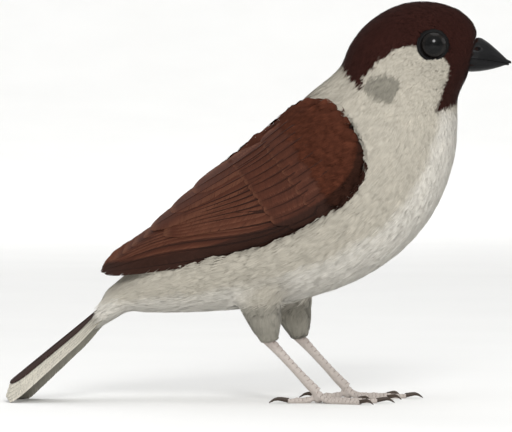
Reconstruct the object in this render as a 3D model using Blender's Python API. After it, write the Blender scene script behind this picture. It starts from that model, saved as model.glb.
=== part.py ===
"""A male house sparrow, standing: a still, life-size model, parted where a person would name its parts.

Units in this file are millimetres, turned into metres as each mesh is made. +X is the way the bird faces,
+Y its left and +Z up. The origin lies on the floor, under the middle of the bird's bounding box.
The outline is that of the plumage, out to the tips of the feathers.
"""

import math

import bmesh
import bpy
from mathutils import Vector
from mathutils.bvhtree import BVHTree

MM = 0.001  # a millimetre, in metres
GAP = 0.3  # clear space between two neighbouring solids
SIDES = {"right": -1.0, "left": 1.0}  # the sign of Y on each side

# The body, from the tail root to the bill. Each rib is a flat egg-shaped section, given by its point on the
# back (x, z), its point on the belly (x, z), its half width, and its lean: the angle in radians by which its
# widest place sits below the middle.
RIBS = (
    ((-36.0, 26.6), (-33.4, 22.0), 5.4, 0.00),  # tail root
    ((-31.2, 30.6), (-26.4, 21.2), 8.4, 0.00),  # vent
    ((-24.4, 38.0), (-16.8, 21.2), 12.0, 0.02),  # rump
    ((-15.8, 46.9), (-5.5, 21.8), 15.2, 0.04),
    ((-6.7, 56.2), (7.0, 23.4), 17.6, 0.06),  # thighs
    ((1.4, 63.8), (19.2, 26.7), 18.9, 0.08),
    ((8.2, 69.8), (29.3, 31.6), 19.2, 0.10),  # widest
    ((13.4, 74.4), (38.2, 39.0), 18.6, 0.12),  # breast
    ((17.2, 77.4), (44.4, 48.3), 17.0, 0.12),  # shoulders
    ((19.6, 79.6), (47.7, 58.4), 14.9, 0.10),
    ((21.0, 81.8), (48.4, 66.4), 13.0, 0.06),  # neck
    ((22.0, 84.6), (48.3, 71.4), 11.9, 0.02),  # throat
    ((24.2, 88.2), (49.0, 73.9), 11.2, 0.00),  # nape
    ((28.6, 92.3), (49.7, 75.7), 10.8, 0.02),  # ear
    ((35.0, 95.4), (50.1, 76.7), 10.1, 0.06),  # crown
    ((41.8, 95.9), (50.4, 77.3), 8.9, 0.08),
    ((48.2, 94.2), (50.6, 77.7), 7.3, 0.08),  # forehead
    ((52.0, 90.9), (50.6, 78.0), 5.9, 0.06),
    ((53.0, 88.2), (50.3, 78.5), 4.6, 0.04),  # bill base
)
RIB_SIDES = 26
RINGS_PER_RIB = 2
NECK_STARTS, HEAD_STARTS = 10.0, 11.7  # where the trunk and the neck end, in ribs

EYE_PLACE = (42.2, 85.3)  # x and z of the middle of each eye
EYE_RADIUS = 4.3
EYE_PROUD = 1.35  # how far the eye stands out of the side of the head

# The bill, from its base to its tip. The gape line parts the two mandibles.
BILL_BASE = {"x": 50.9, "culmen": 87.3, "gape": 82.2, "chin": 79.0, "half_width": 3.8, "lean": 0.25}
BILL_TIP = {"x": 61.2, "z": 81.0}
BILL_RINGS = 10
BILL_SIDES = 13

# A folded wing, from its bend at the shoulder to the tip of its longest primary. Each line across the wing
# is given by its end at the upper edge (x, y, z), its end at the lower edge (x, y, z) and its outward bulge.
WING_LINES = (
    ((24.8, 16.4, 63.2), (25.8, 17.4, 60.0), 0.3),  # bend of the wing
    ((21.0, 13.2, 69.9), (25.6, 18.9, 55.2), 1.5),
    ((15.8, 9.6, 73.7), (22.4, 20.4, 49.4), 3.2),
    ((9.4, 7.2, 71.5), (14.8, 20.9, 43.4), 4.4),
    ((-0.3, 5.6, 63.8), (3.8, 19.9, 38.0), 4.4),
    ((-12.2, 4.2, 54.2), (-8.6, 17.2, 34.6), 3.6),
    ((-24.2, 2.8, 44.4), (-21.6, 13.0, 32.4), 2.4),
    ((-33.6, 1.8, 36.8), (-32.6, 7.0, 31.3), 1.0),
    ((-38.2, 1.4, 33.1), (-38.0, 2.6, 31.4), 0.2),  # tip
)
WING_PARTS = {"coverts": (0.0, 3.15), "secondaries": (3.15, 5.75), "primaries": (5.75, 8.0)}
WING_ACROSS = 8
WING_LIFT = 1.3  # how far the wing's face stands off the body
WING_DEPTH = (5.0, 1.1)  # how far it reaches inwards, at its bend and at its tip

# The tail: a middle pair of feathers over a left and a right group, in a low roof.
TAIL_ROOT = (-34.6, 0.0, 23.7)
TAIL_PITCH = math.radians(39.0)  # below the level, going back; its tip comes to rest on the floor
TAIL_ROLL = math.radians(7.0)  # the left side hangs lower
TAIL_LENGTH = 33.9
TAIL_NOTCH = 2.6  # how much shorter the middle pair is
TAIL_DROOP = math.radians(28.0)  # of the side groups, at the tip
TAIL_THICKNESS = (1.0, 0.55)  # at the root and at the tip
TAIL_STATIONS = (0.0, 0.22, 0.44, 0.66, 0.84, 0.905, 0.95, 0.98, 0.996)  # shares of its length, closer at the tip
TAIL_ROUND = 0.16  # the share of its length over which the tip rounds off

# The legs. The right one stands further back. Places are x, z in the upright plane of each leg.
LEG_Y = 8.6
LEG_STEP = {"right": 0.0, "left": 7.4}  # how far forward each leg stands
THIGH_TOP, ANKLE, TOE_ROOT = (0.2, 27.5), (3.4, 14.6), (14.4, 2.6)
THIGH_RADII = ((6.6, 5.2), (5.6, 4.8), (4.5, 4.0), (3.5, 3.1), (2.0, 1.8))  # fore and aft, across, down to the ankle
TARSUS_RADII = ((1.3, 1.05), (1.1, 0.9), (1.05, 0.85), (1.25, 1.05))
# Each toe's name, heading from straight ahead in degrees (outwards is positive), length, radius, and how far
# out from the middle of the foot its root lies.
TOES = (
    ("hind", 172.0, 7.0, 0.88, -0.15),
    ("inner", -24.0, 11.0, 0.76, -0.62),
    ("middle", 1.0, 14.6, 0.84, 0.04),
    ("outer", 27.0, 11.6, 0.76, 0.66),
)
CLAW_LENGTHS = {"hind": 4.2, "inner": 3.2, "middle": 3.8, "outer": 3.2}
TOE_SIDES = 8
TOE_RINGS = 10
FOOT_PAD = 1.45  # radius of the pad where the toes meet

MATERIALS = {  # base colour (linear), roughness
    "cap": ((0.028, 0.009, 0.007), 0.85),
    "grey": ((0.49, 0.46, 0.39), 0.90),
    "thigh": ((0.27, 0.25, 0.21), 0.90),
    "wing": ((0.076, 0.024, 0.013), 0.80),
    "flight": ((0.027, 0.010, 0.006), 0.75),
    "tail_pale": ((0.53, 0.50, 0.42), 0.80),
    "bill": ((0.015, 0.015, 0.016), 0.35),
    "eye": ((0.004, 0.004, 0.004), 0.05),
    "leg": ((0.48, 0.45, 0.41), 0.55),
    "claw": ((0.05, 0.04, 0.035), 0.40),
}


def clear_scene():
    for obj in list(bpy.data.objects):
        bpy.data.objects.remove(obj)


def material(name):
    found = bpy.data.materials.get(name)
    if found:
        return found
    colour, roughness = MATERIALS[name]
    made = bpy.data.materials.new(name)
    made.use_nodes = True
    shader = made.node_tree.nodes["Principled BSDF"]
    shader.inputs["Base Color"].default_value = (*colour, 1.0)
    shader.inputs["Roughness"].default_value = roughness
    made.diffuse_color = (*colour, 1.0)
    return made


def new_object(name, mesh, finish=None):
    obj = bpy.data.objects.new(name, mesh)
    bpy.context.scene.collection.objects.link(obj)
    if finish:
        mesh.materials.append(material(finish))
        mesh.shade_smooth()
        mesh.set_sharp_from_angle(angle=math.radians(50))
    return obj


def lofted_mesh(name, rings):
    """A closed mesh through rings of points in millimetres, with a flat cap on each end."""
    bm = bmesh.new()
    loops = [[bm.verts.new(point * MM) for point in ring] for ring in rings]
    for near, far in zip(loops, loops[1:]):
        for i in range(len(near)):
            j = (i + 1) % len(near)
            bm.faces.new((near[i], near[j], far[j], far[i]))
    bm.faces.new(loops[0][::-1])
    bm.faces.new(loops[-1])
    bmesh.ops.recalc_face_normals(bm, faces=bm.faces)
    bmesh.ops.triangulate(bm, faces=bm.faces)
    mesh = bpy.data.meshes.new(name)
    bm.to_mesh(mesh)
    bm.free()
    return mesh


def flattened(row):
    """The numbers of a row of nested tuples, in one list."""
    return [n for item in row for n in (flattened(item) if isinstance(item, tuple) else (item,))]


def smooth_row(rows, t):
    """The rows' numbers at place t, counted in rows, on a Catmull-Rom curve through them."""
    last = len(rows) - 1
    i = min(max(int(t), 0), last - 1)
    u = t - i
    p0, p1, p2, p3 = (flattened(rows[min(max(k, 0), last)]) for k in (i - 1, i, i + 1, i + 2))
    return [
        0.5 * (2 * b + (c - a) * u + (2 * a - 5 * b + 4 * c - d) * u**2 + (3 * b - a - 3 * c + d) * u**3)
        for a, b, c, d in zip(p0, p1, p2, p3)
    ]


def evenly(start, stop, count):
    return [start + (stop - start) * k / (count - 1) for k in range(count)]


def body_ring(t, grow=0.0, shift=0.0):
    """The body's section at rib t, made larger by grow and moved headwards by shift."""
    back_x, back_z, belly_x, belly_z, half_width, lean = smooth_row(RIBS, t)
    back, belly = Vector((back_x, 0, back_z)), Vector((belly_x, 0, belly_z))
    up = (back - belly) / 2
    headwards = Vector((up.z, 0, -up.x)).normalized()
    centre = (back + belly) / 2 + headwards * shift
    up += up.normalized() * grow
    ring = []
    for k in range(RIB_SIDES):
        turn = 2 * math.pi * k / RIB_SIDES
        rise = math.cos(turn + lean * math.sin(turn))
        ring.append(centre + up * rise + Vector((0, (half_width + grow) * math.sin(turn), 0)))
    return ring


def body_mesh(name, start, stop, grow=0.0):
    """The stretch of the body between two ribs. A cut end stays half a gap short of its rib."""
    count = max(round((stop - start) * RINGS_PER_RIB) + 1, 3)
    places = evenly(start, stop, count)
    rings = [body_ring(t, grow) for t in places]
    if start > 0:
        rings[0] = body_ring(start, grow, GAP / 2)
    if stop < len(RIBS) - 1:
        rings[-1] = body_ring(stop, grow, -GAP / 2)
    return lofted_mesh(name, rings)


def cut_with(obj, cutter):
    cut = obj.modifiers.new("cut_" + cutter.name, "BOOLEAN")
    cut.operation, cut.solver, cut.object = "DIFFERENCE", "EXACT", cutter


def hidden(obj):
    obj.hide_render, obj.display_type = True, "WIRE"
    return obj


def ball_mesh(name, centre, radius, segments, rings):
    bm = bmesh.new()
    bmesh.ops.create_uvsphere(bm, u_segments=segments, v_segments=rings, radius=radius * MM)
    bmesh.ops.rotate(bm, verts=bm.verts, cent=(0, 0, 0), matrix=quarter_turn())
    bmesh.ops.translate(bm, verts=bm.verts, vec=Vector(centre) * MM)
    mesh = bpy.data.meshes.new(name)
    bm.to_mesh(mesh)
    bm.free()
    return mesh


def surface_of(obj):
    """The surface of a mesh before its modifiers, in millimetres, for finding places on it."""
    return BVHTree.FromPolygons(
        [v.co / MM for v in obj.data.vertices], [p.vertices[:] for p in obj.data.polygons]
    )


def quarter_turn():
    """Turns a ball's poles from Z to Y, so that one faces out of the head."""
    return Vector((0, 0, 1)).rotation_difference(Vector((0, 1, 0))).to_matrix()


def make_body():
    """Trunk, neck and head in one shape, parted by two thin cuts, with a socket for each eye."""
    last = len(RIBS) - 1
    new_object("trunk", body_mesh("trunk", 0, NECK_STARTS), "grey")
    new_object("neck", body_mesh("neck", NECK_STARTS, HEAD_STARTS), "grey")
    head = new_object("head", body_mesh("head", HEAD_STARTS, last), "cap")
    x, z = EYE_PLACE
    side_of_head = surface_of(head).ray_cast(Vector((x, 40, z)), Vector((0, -1, 0)))[0].y
    for side, sign in SIDES.items():
        centre = (x, (side_of_head + EYE_PROUD - EYE_RADIUS) * sign, z)
        socket = ball_mesh("socket_" + side, centre, EYE_RADIUS + GAP, 20, 12)
        cut_with(head, hidden(new_object("socket_" + side, socket)))
        new_object("eye_" + side, ball_mesh("eye_" + side, centre, EYE_RADIUS, 18, 10), "eye")


def bill_rings(upper):
    """Half-round sections of one mandible, from just ahead of the face to the tip, with its flat side on the gape."""
    rings = []
    for u in evenly(0.0, 1.0, BILL_RINGS):
        length = (BILL_TIP["x"] - BILL_BASE["x"] - GAP) * (1.0 if upper else 0.95)
        x = BILL_BASE["x"] + GAP + length * u
        # The gape runs back from the tip, with a slight dip near the base.
        gape = BILL_BASE["gape"] + (BILL_TIP["z"] - BILL_BASE["gape"]) * u**1.3
        if upper:
            ridge = BILL_BASE["culmen"] + (BILL_TIP["z"] - BILL_BASE["culmen"]) * u**1.45
            flat, reach = gape + GAP / 2, max(ridge - gape - GAP / 2, 0.35)
            half_width = BILL_BASE["half_width"] * (1 - u**1.5) ** 0.8 + 0.18
        else:
            ridge = BILL_BASE["chin"] + (BILL_TIP["z"] - BILL_BASE["chin"]) * u**1.9
            flat, reach = gape - GAP / 2, min(ridge - gape + GAP / 2, -0.25)
            half_width = BILL_BASE["half_width"] * 0.93 * (1 - u**1.5) ** 0.8 + 0.15
        ring = []
        for k in range(BILL_SIDES):
            turn = math.pi * k / (BILL_SIDES - 1)
            across = math.copysign(abs(math.cos(turn)) ** 0.9, math.cos(turn))
            z = flat + reach * math.sin(turn) ** 0.85
            forward = BILL_BASE["lean"] * (z - BILL_BASE["chin"]) * (1 - u)
            ring.append(Vector((x + forward, half_width * across, z)))
        rings.append(ring)
    return rings


def make_bill():
    new_object("bill_upper", lofted_mesh("bill_upper", bill_rings(True)), "bill")
    new_object("bill_lower", lofted_mesh("bill_lower", bill_rings(False)), "bill")


def wing_ring(t, body, sign):
    """One closed line across the wing at place t: its outer face from the upper to the lower edge, then back inside."""
    ux, uy, uz, lx, ly, lz, bulge = smooth_row(WING_LINES, t)
    upper, lower = Vector((ux, uy, uz)), Vector((lx, ly, lz))
    chord = (lower - upper).normalized()
    outward = (Vector((0, 1, 0)) - chord * chord.y).normalized()
    share = t / (len(WING_LINES) - 1)
    depth = WING_DEPTH[0] + (WING_DEPTH[1] - WING_DEPTH[0]) * min(1.0, share * 1.25)
    outer, inner = [], []
    for v in evenly(0.0, 1.0, WING_ACROSS):
        point = upper.lerp(lower, v) + outward * bulge * math.sin(math.pi * v) ** 0.85
        foot, normal, _, distance = body.find_nearest(point)
        if (point - foot).dot(normal) < WING_LIFT:
            point = foot + normal * WING_LIFT
        # The rim is thin, and the middle reaches right into the body, which is then cut away.
        inwards = -outward if normal.dot(outward) < 0.2 else -normal
        outer.append(point)
        inner.append(point + inwards * depth * (0.45 + 0.55 * math.sin(math.pi * v)))
    return [Vector((p.x, p.y * sign, p.z)) for p in outer + inner[::-1]]


def make_wings():
    """Each wing lies on the body, whose slightly larger copy is cut out of it. It is parted across in three."""
    last = len(RIBS) - 1
    body = hidden(new_object("body_and_gap", body_mesh("body_and_gap", 0, last, GAP)))
    surface = surface_of(body)
    for side, sign in SIDES.items():
        for part, (start, stop) in WING_PARTS.items():
            trim = GAP / 18  # in lines, which are about 9 mm apart
            places = evenly(start + trim * (start > 0), stop - trim * (part != "primaries"),
                            round((stop - start) * 3) + 1)
            rings = [wing_ring(t, surface, sign) for t in places]
            name = f"wing_{side}_{part}"
            wing = new_object(name, lofted_mesh(name, rings), "flight" if part == "primaries" else "wing")
            cut_with(wing, body)
    return body


def tail_point(back, across, rise):
    """A place on the tail, from distances back along it, across to the left and up from its middle."""
    axis = Vector((-math.cos(TAIL_PITCH), 0, -math.sin(TAIL_PITCH)))
    up = Vector((-math.sin(TAIL_PITCH), 0, math.cos(TAIL_PITCH)))
    left = Vector((0, 1, 0))
    across, rise = (
        across * math.cos(TAIL_ROLL) + rise * math.sin(TAIL_ROLL),
        rise * math.cos(TAIL_ROLL) - across * math.sin(TAIL_ROLL),
    )
    return Vector(TAIL_ROOT) + axis * back + left * across + up * rise


def vane_ring(back, inner, outer, rise, droop, thickness):
    """A thin lens across a group of tail feathers."""
    ring = []
    sides = 12
    for k in range(sides):
        turn = 2 * math.pi * k / sides
        share = 0.5 - 0.5 * math.cos(turn)
        across = inner + (outer - inner) * share
        fall = abs(outer - inner) * share * math.tan(droop)
        ring.append(tail_point(back, across, rise - fall + 0.5 * thickness * math.sin(turn)))
    return ring


def make_tail():
    """Three thin groups of feathers, rounded at their tips. What would lie below the floor is laid on it."""
    for name, sign, finish in (("centre", 0, "flight"), ("right", -1, "tail_pale"), ("left", 1, "tail_pale")):
        length = TAIL_LENGTH - (TAIL_NOTCH if sign == 0 else 0)
        rings = []
        for u in TAIL_STATIONS:
            back = GAP + (length - GAP) * u
            thickness = TAIL_THICKNESS[0] + (TAIL_THICKNESS[1] - TAIL_THICKNESS[0]) * u
            rounding = math.sqrt(1 - (max(u - 1 + TAIL_ROUND, 0.0) / TAIL_ROUND) ** 2)
            if sign == 0:
                half = (4.2 + 1.6 * u) * rounding
                ring = vane_ring(back, -half, half, 0.9, 0.0, thickness)
            else:
                reach = 5.2 + 4.6 * u**0.9
                middle = reach * 0.55
                inner = middle - (middle - 0.3) * rounding
                outer = middle + (reach - middle) * rounding
                under = 0.9 - thickness - GAP - 0.1
                droop = TAIL_DROOP * (0.4 + 0.6 * u)
                ring = vane_ring(back, sign * inner, sign * outer, under, droop, thickness)
            for point in ring:
                point.z = max(point.z, 0.0)
            rings.append(ring)
        new_object("tail_" + name, lofted_mesh("tail_" + name, rings), finish)


def tube_rings(path, radii, sides):
    """Oval rings along a line of points. Each radius pair is fore and aft, then across."""
    rings = []
    for i, point in enumerate(path):
        ahead, behind = path[min(i + 1, len(path) - 1)], path[max(i - 1, 0)]
        along = (ahead - behind).normalized()
        across = Vector((0, 1, 0)) - along * along.y
        across = across.normalized() if across.length > 0.1 else Vector((1, 0, 0))
        front = along.cross(across)
        deep, wide = radii[i]
        ring = []
        for k in range(sides):
            turn = 2 * math.pi * k / sides
            ring.append(point + front * deep * math.cos(turn) + across * wide * math.sin(turn))
        rings.append(ring)
    return rings


def toe_rings(root, heading, length, radius):
    """A toe that reaches down from its root and then lies flat on the floor, fuller at its pads."""
    ahead = Vector((math.cos(heading), math.sin(heading), 0))
    across = Vector((-ahead.y, ahead.x, 0))
    rings = []
    for u in evenly(0.0, 1.0, TOE_RINGS):
        pad = 1.0 + 0.10 * math.cos(2 * math.pi * 3 * u) - 0.22 * u**2
        r = radius * pad
        rise = 1.7 * max(0.0, 1 - u / 0.3) ** 1.6 + 0.64 * r
        centre = Vector((root.x, root.y, 0)) + ahead * length * u + Vector((0, 0, rise))
        ring = []
        for k in range(TOE_SIDES):
            turn = 2 * math.pi * k / TOE_SIDES
            point = centre + across * r * math.cos(turn) + Vector((0, 0, r * math.sin(turn)))
            point.z = max(point.z, 0.0)
            ring.append(point)
        rings.append(ring)
    return rings


def claw_rings(tip_of_toe, heading, length, radius):
    """A claw: a horn that arches forward and down to a point on the floor."""
    ahead = Vector((math.cos(heading), math.sin(heading), 0))
    across = Vector((-ahead.y, ahead.x, 0))
    rings = []
    for u in evenly(0.0, 1.0, 6):
        turn = math.radians(62) * u
        reach = length * math.sin(turn) / math.sin(math.radians(62))
        height = radius + 0.55 * math.sin(math.pi * min(u * 1.1, 1.0)) - (radius - 0.14) * u**1.6
        centre = Vector((tip_of_toe.x, tip_of_toe.y, 0)) + ahead * reach + Vector((0, 0, height))
        r = radius * (1 - u) ** 0.8 * 0.82 + 0.13
        ring = []
        for k in range(6):
            side = 2 * math.pi * k / 6
            point = centre + across * r * 0.8 * math.cos(side) + Vector((0, 0, r * math.sin(side)))
            point.z = max(point.z, 0.0)
            ring.append(point)
        rings.append(ring)
    return rings


def make_leg(side, sign, body):
    """Feathered thigh, bare tarsus, a foot of four toes and its claws."""
    step = LEG_STEP[side]
    y = LEG_Y * sign

    def place(point):
        return Vector((point[0] + step, y, point[1]))

    top, ankle, root = place(THIGH_TOP), place(ANKLE), place(TOE_ROOT)
    down = (ankle - top).normalized()
    last = len(THIGH_RADII) - 1
    thigh_path = [top.lerp(ankle, u) for u in evenly(0.0, 1.0, 9)]
    thigh_radii = [smooth_row(THIGH_RADII, last * u) for u in evenly(0.0, 1.0, 9)]
    mesh = lofted_mesh("thigh_" + side, tube_rings(thigh_path, thigh_radii, 14))
    cut_with(new_object("thigh_" + side, mesh, "thigh"), body)

    along = (root - ankle).normalized()
    start, stop = ankle - along * 1.0, root - along * 0.9
    last = len(TARSUS_RADII) - 1
    tarsus_path = [start.lerp(stop, u) for u in evenly(0.0, 1.0, 8)]
    tarsus_radii = [smooth_row(TARSUS_RADII, last * u) for u in evenly(0.0, 1.0, 8)]
    mesh = lofted_mesh("tarsus_" + side, tube_rings(tarsus_path, tarsus_radii, 10))
    tarsus = new_object("tarsus_" + side, mesh, "leg")
    thigh_path[-1] = ankle + down * GAP
    cut_with(tarsus, grown_tube("ankle_gap_" + side, thigh_path, thigh_radii, 14))

    pad = ball_mesh("foot_" + side, (root.x + 0.5, root.y, FOOT_PAD), FOOT_PAD, 12, 8)
    foot = new_object("foot_" + side, pad, "leg")
    for name, degrees, length, radius, aside in TOES:
        heading = math.radians(degrees) * sign
        origin = root + Vector((0, aside * sign, 0))
        toe = new_object(f"toe_{side}_{name}",
                         lofted_mesh(f"toe_{side}_{name}", toe_rings(origin, heading, length, radius)))
        join = foot.modifiers.new("join_" + name, "BOOLEAN")
        join.operation, join.solver, join.object = "UNION", "EXACT", hidden(toe)
        ahead = Vector((math.cos(heading), math.sin(heading), 0))
        nail = origin + ahead * (length + GAP)
        mesh = lofted_mesh(f"claw_{side}_{name}", claw_rings(nail, heading, CLAW_LENGTHS[name], radius * 0.8))
        new_object(f"claw_{side}_{name}", mesh, "claw")
    tarsus_path[-1] = stop + along * GAP
    cut_with(foot, grown_tube("foot_gap_" + side, tarsus_path, tarsus_radii, 10))


def grown_tube(name, path, radii, sides):
    """A hidden copy of a tube, larger by the gap, to cut clear space for it."""
    rings = tube_rings(path, [(deep + GAP, wide + GAP) for deep, wide in radii], sides)
    return hidden(new_object(name, lofted_mesh(name, rings)))


def main():
    clear_scene()
    make_body()
    make_bill()
    body = make_wings()
    make_tail()
    for side, sign in SIDES.items():
        make_leg(side, sign, body)


main()
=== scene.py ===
"""The looks of a male house sparrow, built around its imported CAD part.

One skin stands for the flesh. Over it lie feathers of solid mesh: small soft ones on the head and body,
and firm ones with a shaft and barbs on the wings and tail. Lengths in this file are millimetres, turned
into metres as each mesh is made. +X is the way the bird faces, +Y its left and +Z up. Where the parts of
the bird are comes from the frame.
"""

import math

import bmesh
import bpy
import numpy as np
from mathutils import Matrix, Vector, kdtree
from mathutils.bvhtree import BVHTree


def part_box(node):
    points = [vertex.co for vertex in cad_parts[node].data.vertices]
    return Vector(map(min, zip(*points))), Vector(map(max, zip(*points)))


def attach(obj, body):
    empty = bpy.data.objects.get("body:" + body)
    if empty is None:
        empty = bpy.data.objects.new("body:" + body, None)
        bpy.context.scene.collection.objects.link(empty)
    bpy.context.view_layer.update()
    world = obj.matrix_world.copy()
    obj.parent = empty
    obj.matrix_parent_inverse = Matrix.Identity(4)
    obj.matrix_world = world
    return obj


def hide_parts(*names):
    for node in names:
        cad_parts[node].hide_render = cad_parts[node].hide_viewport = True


MM = 0.001
SIDES = {"right": -1.0, "left": 1.0}
TOES = ("hind", "inner", "middle", "outer")
WING_PARTS = ("coverts", "secondaries", "primaries")
BODY = "root"

# Linear colours.
CAP = (0.0283, 0.0088, 0.0065)
BRISTLE_TINT = (0.6, 0.75, 0.75)
EAR_PATCH = (0.225, 0.211, 0.174)
BREAST = (0.450, 0.417, 0.350)
# The belly's paler colour: partly its own, partly painted light against the shade on the underside.
BELLY = (0.620, 0.592, 0.533)
THIGH = (0.262, 0.246, 0.206)
MANTLE = (0.105, 0.040, 0.022)
MANTLE_STREAK = (0.022, 0.009, 0.006)
RUMP = (0.215, 0.185, 0.148)
WING_BROWN = (0.0690, 0.0205, 0.0105)
WING_FRINGE = (0.112, 0.042, 0.023)
WING_DARK = (0.0273, 0.0097, 0.0056)
TAIL_DARK = WING_DARK
TAIL_PALE = (0.61, 0.575, 0.49)
# The outer tail feathers' lower sides, painted darker as painted shade.
TAIL_UNDERSIDE_SHADE = (0.270, 0.254, 0.212)
PUPIL = (0.001, 0.001, 0.001)
IRIS = (0.0060, 0.0046, 0.0038)
LID = (0.0040, 0.0036, 0.0036)
BILL_BLACK = (0.0065, 0.0065, 0.007)
CLAW_BROWN = (0.060, 0.045, 0.036)
LEG = (0.47, 0.42, 0.385)
# Painted shade for the legs' grooves and the top of the shank.
LEG_GROOVE_SHADE = (0.20, 0.155, 0.135)
FLOOR = (0.84, 0.84, 0.83)

# The eye and its lids.
PUPIL_RADIUS = 2.1
EYE_SUNK = 0.5
LID_OPENING = 3.0
LID_RADIUS = 3.65

# Where the coat changes along the body, as x: a place, or a stretch that it changes over.
NAPE = 26.0
SHOULDER = 20.0
BREAST_END = 14.0
MANTLE_FRONT = (9.0, 15.0)
LOIN = -8.0
RUMP_FRONT = (-17.0, LOIN)
BACK_HEIGHT = 2.5  # above the spine, where the back begins

# The coat: how many points are tried on each form, the space between feathers as a share of their length,
# and how far along a feather the part lies that shows.
TRIES = {"back": 110000, "body": 200000, "wing": 9000, "bill": 60000}
COAT_SPACING = 0.165
SHOWN = 0.72
LOOSE_BORDER = 0.15  # how far the markings' borders stray
NEAR_BODY = 1.0  # the furthest that feathers grow from the body as it is without wings
# Each part's slot and material, and the locks across a feather and the rows of faces along a lock.
COAT_PARTS = {
    "head": ("cap_plumage", "contour", 6, 3),
    "breast": ("grey_plumage", "down", 9, 4),
    "belly": ("grey_plumage", "down", 9, 4),
    "thigh": ("thigh_plumage", "down", 9, 4),
}

# Outlines of the markings seen from the side, as offsets in x and z from the middle of the eye.
CAP_OUTLINE = [(-30, 0), (-21.6, -5.0), (-20.6, -7.6), (-17.3, -11.1), (-12.0, -14.0), (-5.0, -15.9),
               (-0.2, -16.1), (2.6, -15.7), (6.5, -13.6), (20, -8), (20, 20), (-30, 20)]
CHEEK_OUTLINE = [(-3.4, -0.3), (-6.7, -0.3), (-9.3, -1.2), (-12.2, -3.1), (-15.6, -6.1), (-17.0, -8.5),
                 (-17.3, -11.1), (-17.3, -20), (0.8, -20), (0.0, -16.0), (1.5, -13.3), (2.2, -10.4),
                 (3.6, -7.4), (3.7, -5.0), (2.4, -3.0), (0, -2.0)]
EAR_OUTLINE = [(-17.2, -10.5), (-15.4, -8.4), (-12.0, -7.1), (-8.6, -8.2), (-7.9, -10.2), (-10.2, -14.0),
               (-14.1, -13.2)]
BELLY_OUTLINE = [(1.7, -15.9), (1.2, -19.1), (-1.6, -28.8), (-6.4, -37.0), (-12.4, -43.8), (-24.7, -51.0),
                 (-38.6, -55.5), (-56.8, -59.6), (-74.6, -61.3), (-90, -61.3), (-90, -90), (30, -90),
                 (30, -15.9)]

# The width of the wing's dark border at distances from the wing's tip: the primaries' own dark colour along
# the lower edge, painted shade along the front edge.
BAND_REACHES = (2, 12, 25, 37, 49, 59, 65, 70)
BAND_WIDTHS = (2.2, 2.9, 3.4, 4.2, 4.2, 3.8, 3.0, 2.3)
BAND_FRONT = 50  # past this distance the border is the wing's front, and fades out over its top
# How close over the coat a wing hides it: at the wing's tip, above the back and elsewhere.
TIP_LENGTH = 25
HIDES_AT_TIP, HIDES_ABOVE_BACK, HIDES_ELSEWHERE = 1.2, 8.0, 3.0
# The steps of the grid that a wing's surface is charted on.
REACH_STEP = 1.5
TURN_STEP = 4

# Feathers of the wing lie from a root to a tip, both shares of the wing: from its bend to its tip, and from
# its upper edge to its lower one. Tips of the primaries, from the innermost, and of the tertials:
PRIMARY_TIPS = ((0.76, 0.30), (0.81, 0.28), (0.86, 0.27), (0.90, 0.27), (0.94, 0.28), (0.965, 0.32),
                (0.985, 0.45), (0.995, 0.65), (0.985, 0.9))
TERTIAL_TIPS = ((0.775, 0.22), (0.685, 0.15), (0.585, 0.09))
# Rows of feathers, with the first and the last one's root, tip and depth.
SECONDARIES = dict(
    count=6, roots=((0.16, 0.82), (0.24, 0.52)), tips=((0.745, 0.52), (0.715, 0.32)), depths=(-0.65, -0.40),
    outer=2.5, inner=3.6, bundles=64, bow=0.10, blunt=0.7)
PRIMARY_COVERTS = dict(
    count=8, roots=((0.15, 0.97), (0.178, 0.91)), tips=((0.37, 0.955), (0.32, 0.925)), depths=(-0.62, -0.48),
    outer=1.4, inner=1.9, bundles=22, bow=0.0, blunt=0.6)
ALULA = dict(
    count=3, roots=((0.07, 0.93), (0.09, 0.87)), tips=((0.27, 0.975), (0.17, 0.915)), depths=(-0.30, -0.20),
    outer=1.7, inner=2.3, bundles=26, bow=0.02, blunt=0.65)
GREATER_COVERTS = dict(
    count=10, roots=((0.19, 0.86), (0.25, 0.20)), tips=((0.41, 0.86), (0.425, 0.20)), depths=(-0.30, -0.12),
    outer=2.5, inner=2.3, bundles=26, bow=0.02, blunt=0.5)
MEDIAN_COVERTS = dict(
    count=9, roots=((0.11, 0.86), (0.155, 0.16)), tips=((0.285, 0.86), (0.305, 0.18)), depths=(-0.12, -0.04),
    outer=2.4, inner=2.2, bundles=20, bow=0.0, blunt=0.42)

TAIL_DROOP = math.radians(31)  # the slope of the tail's roof
TAIL_PAIRS = 6

# The camera, and what it frames.
CAMERA_DISTANCE = 1100.0
CAMERA_ELEVATION = 1.5
VIEW_WIDTH = 122.9
VIEW_MIDDLE = 0.0
VIEW_HEIGHT = 44.4
SKY_STRENGTH = 0.70
# The floor's height in metres at distances from the bird.
FLOOR_PROFILE = [(0.0, 0.0), (0.6, 0.0), (1.2, 0.0), (2.0, 0.0), (2.8, 0.12), (3.3, 0.6), (3.5, 1.4)]


# ---------------------------------------------------------------------------------------- small sums


def magnitude(vectors):
    return np.linalg.norm(vectors, axis=-1)


def unit(vectors):
    return vectors / np.maximum(magnitude(vectors), 1e-9)[..., None]


def ramp(values, low, high):
    """0 at low, 1 at high and smooth between them."""
    t = np.clip((values - low) / (high - low), 0.0, 1.0)
    return t * t * (3 - 2 * t)


def mixed(first, second, share):
    """first where share is 0 and second where it is 1, for colours or directions."""
    first = np.asarray(first)
    return first + (second - first) * np.asarray(share)[..., None]


def dot(a, b):
    """The dot products of two lists of vectors, as a column."""
    return np.sum(a * b, axis=-1, keepdims=True)


def taken(chosen, *arrays):
    """The chosen rows of each array."""
    return [a[chosen] for a in arrays]


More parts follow.
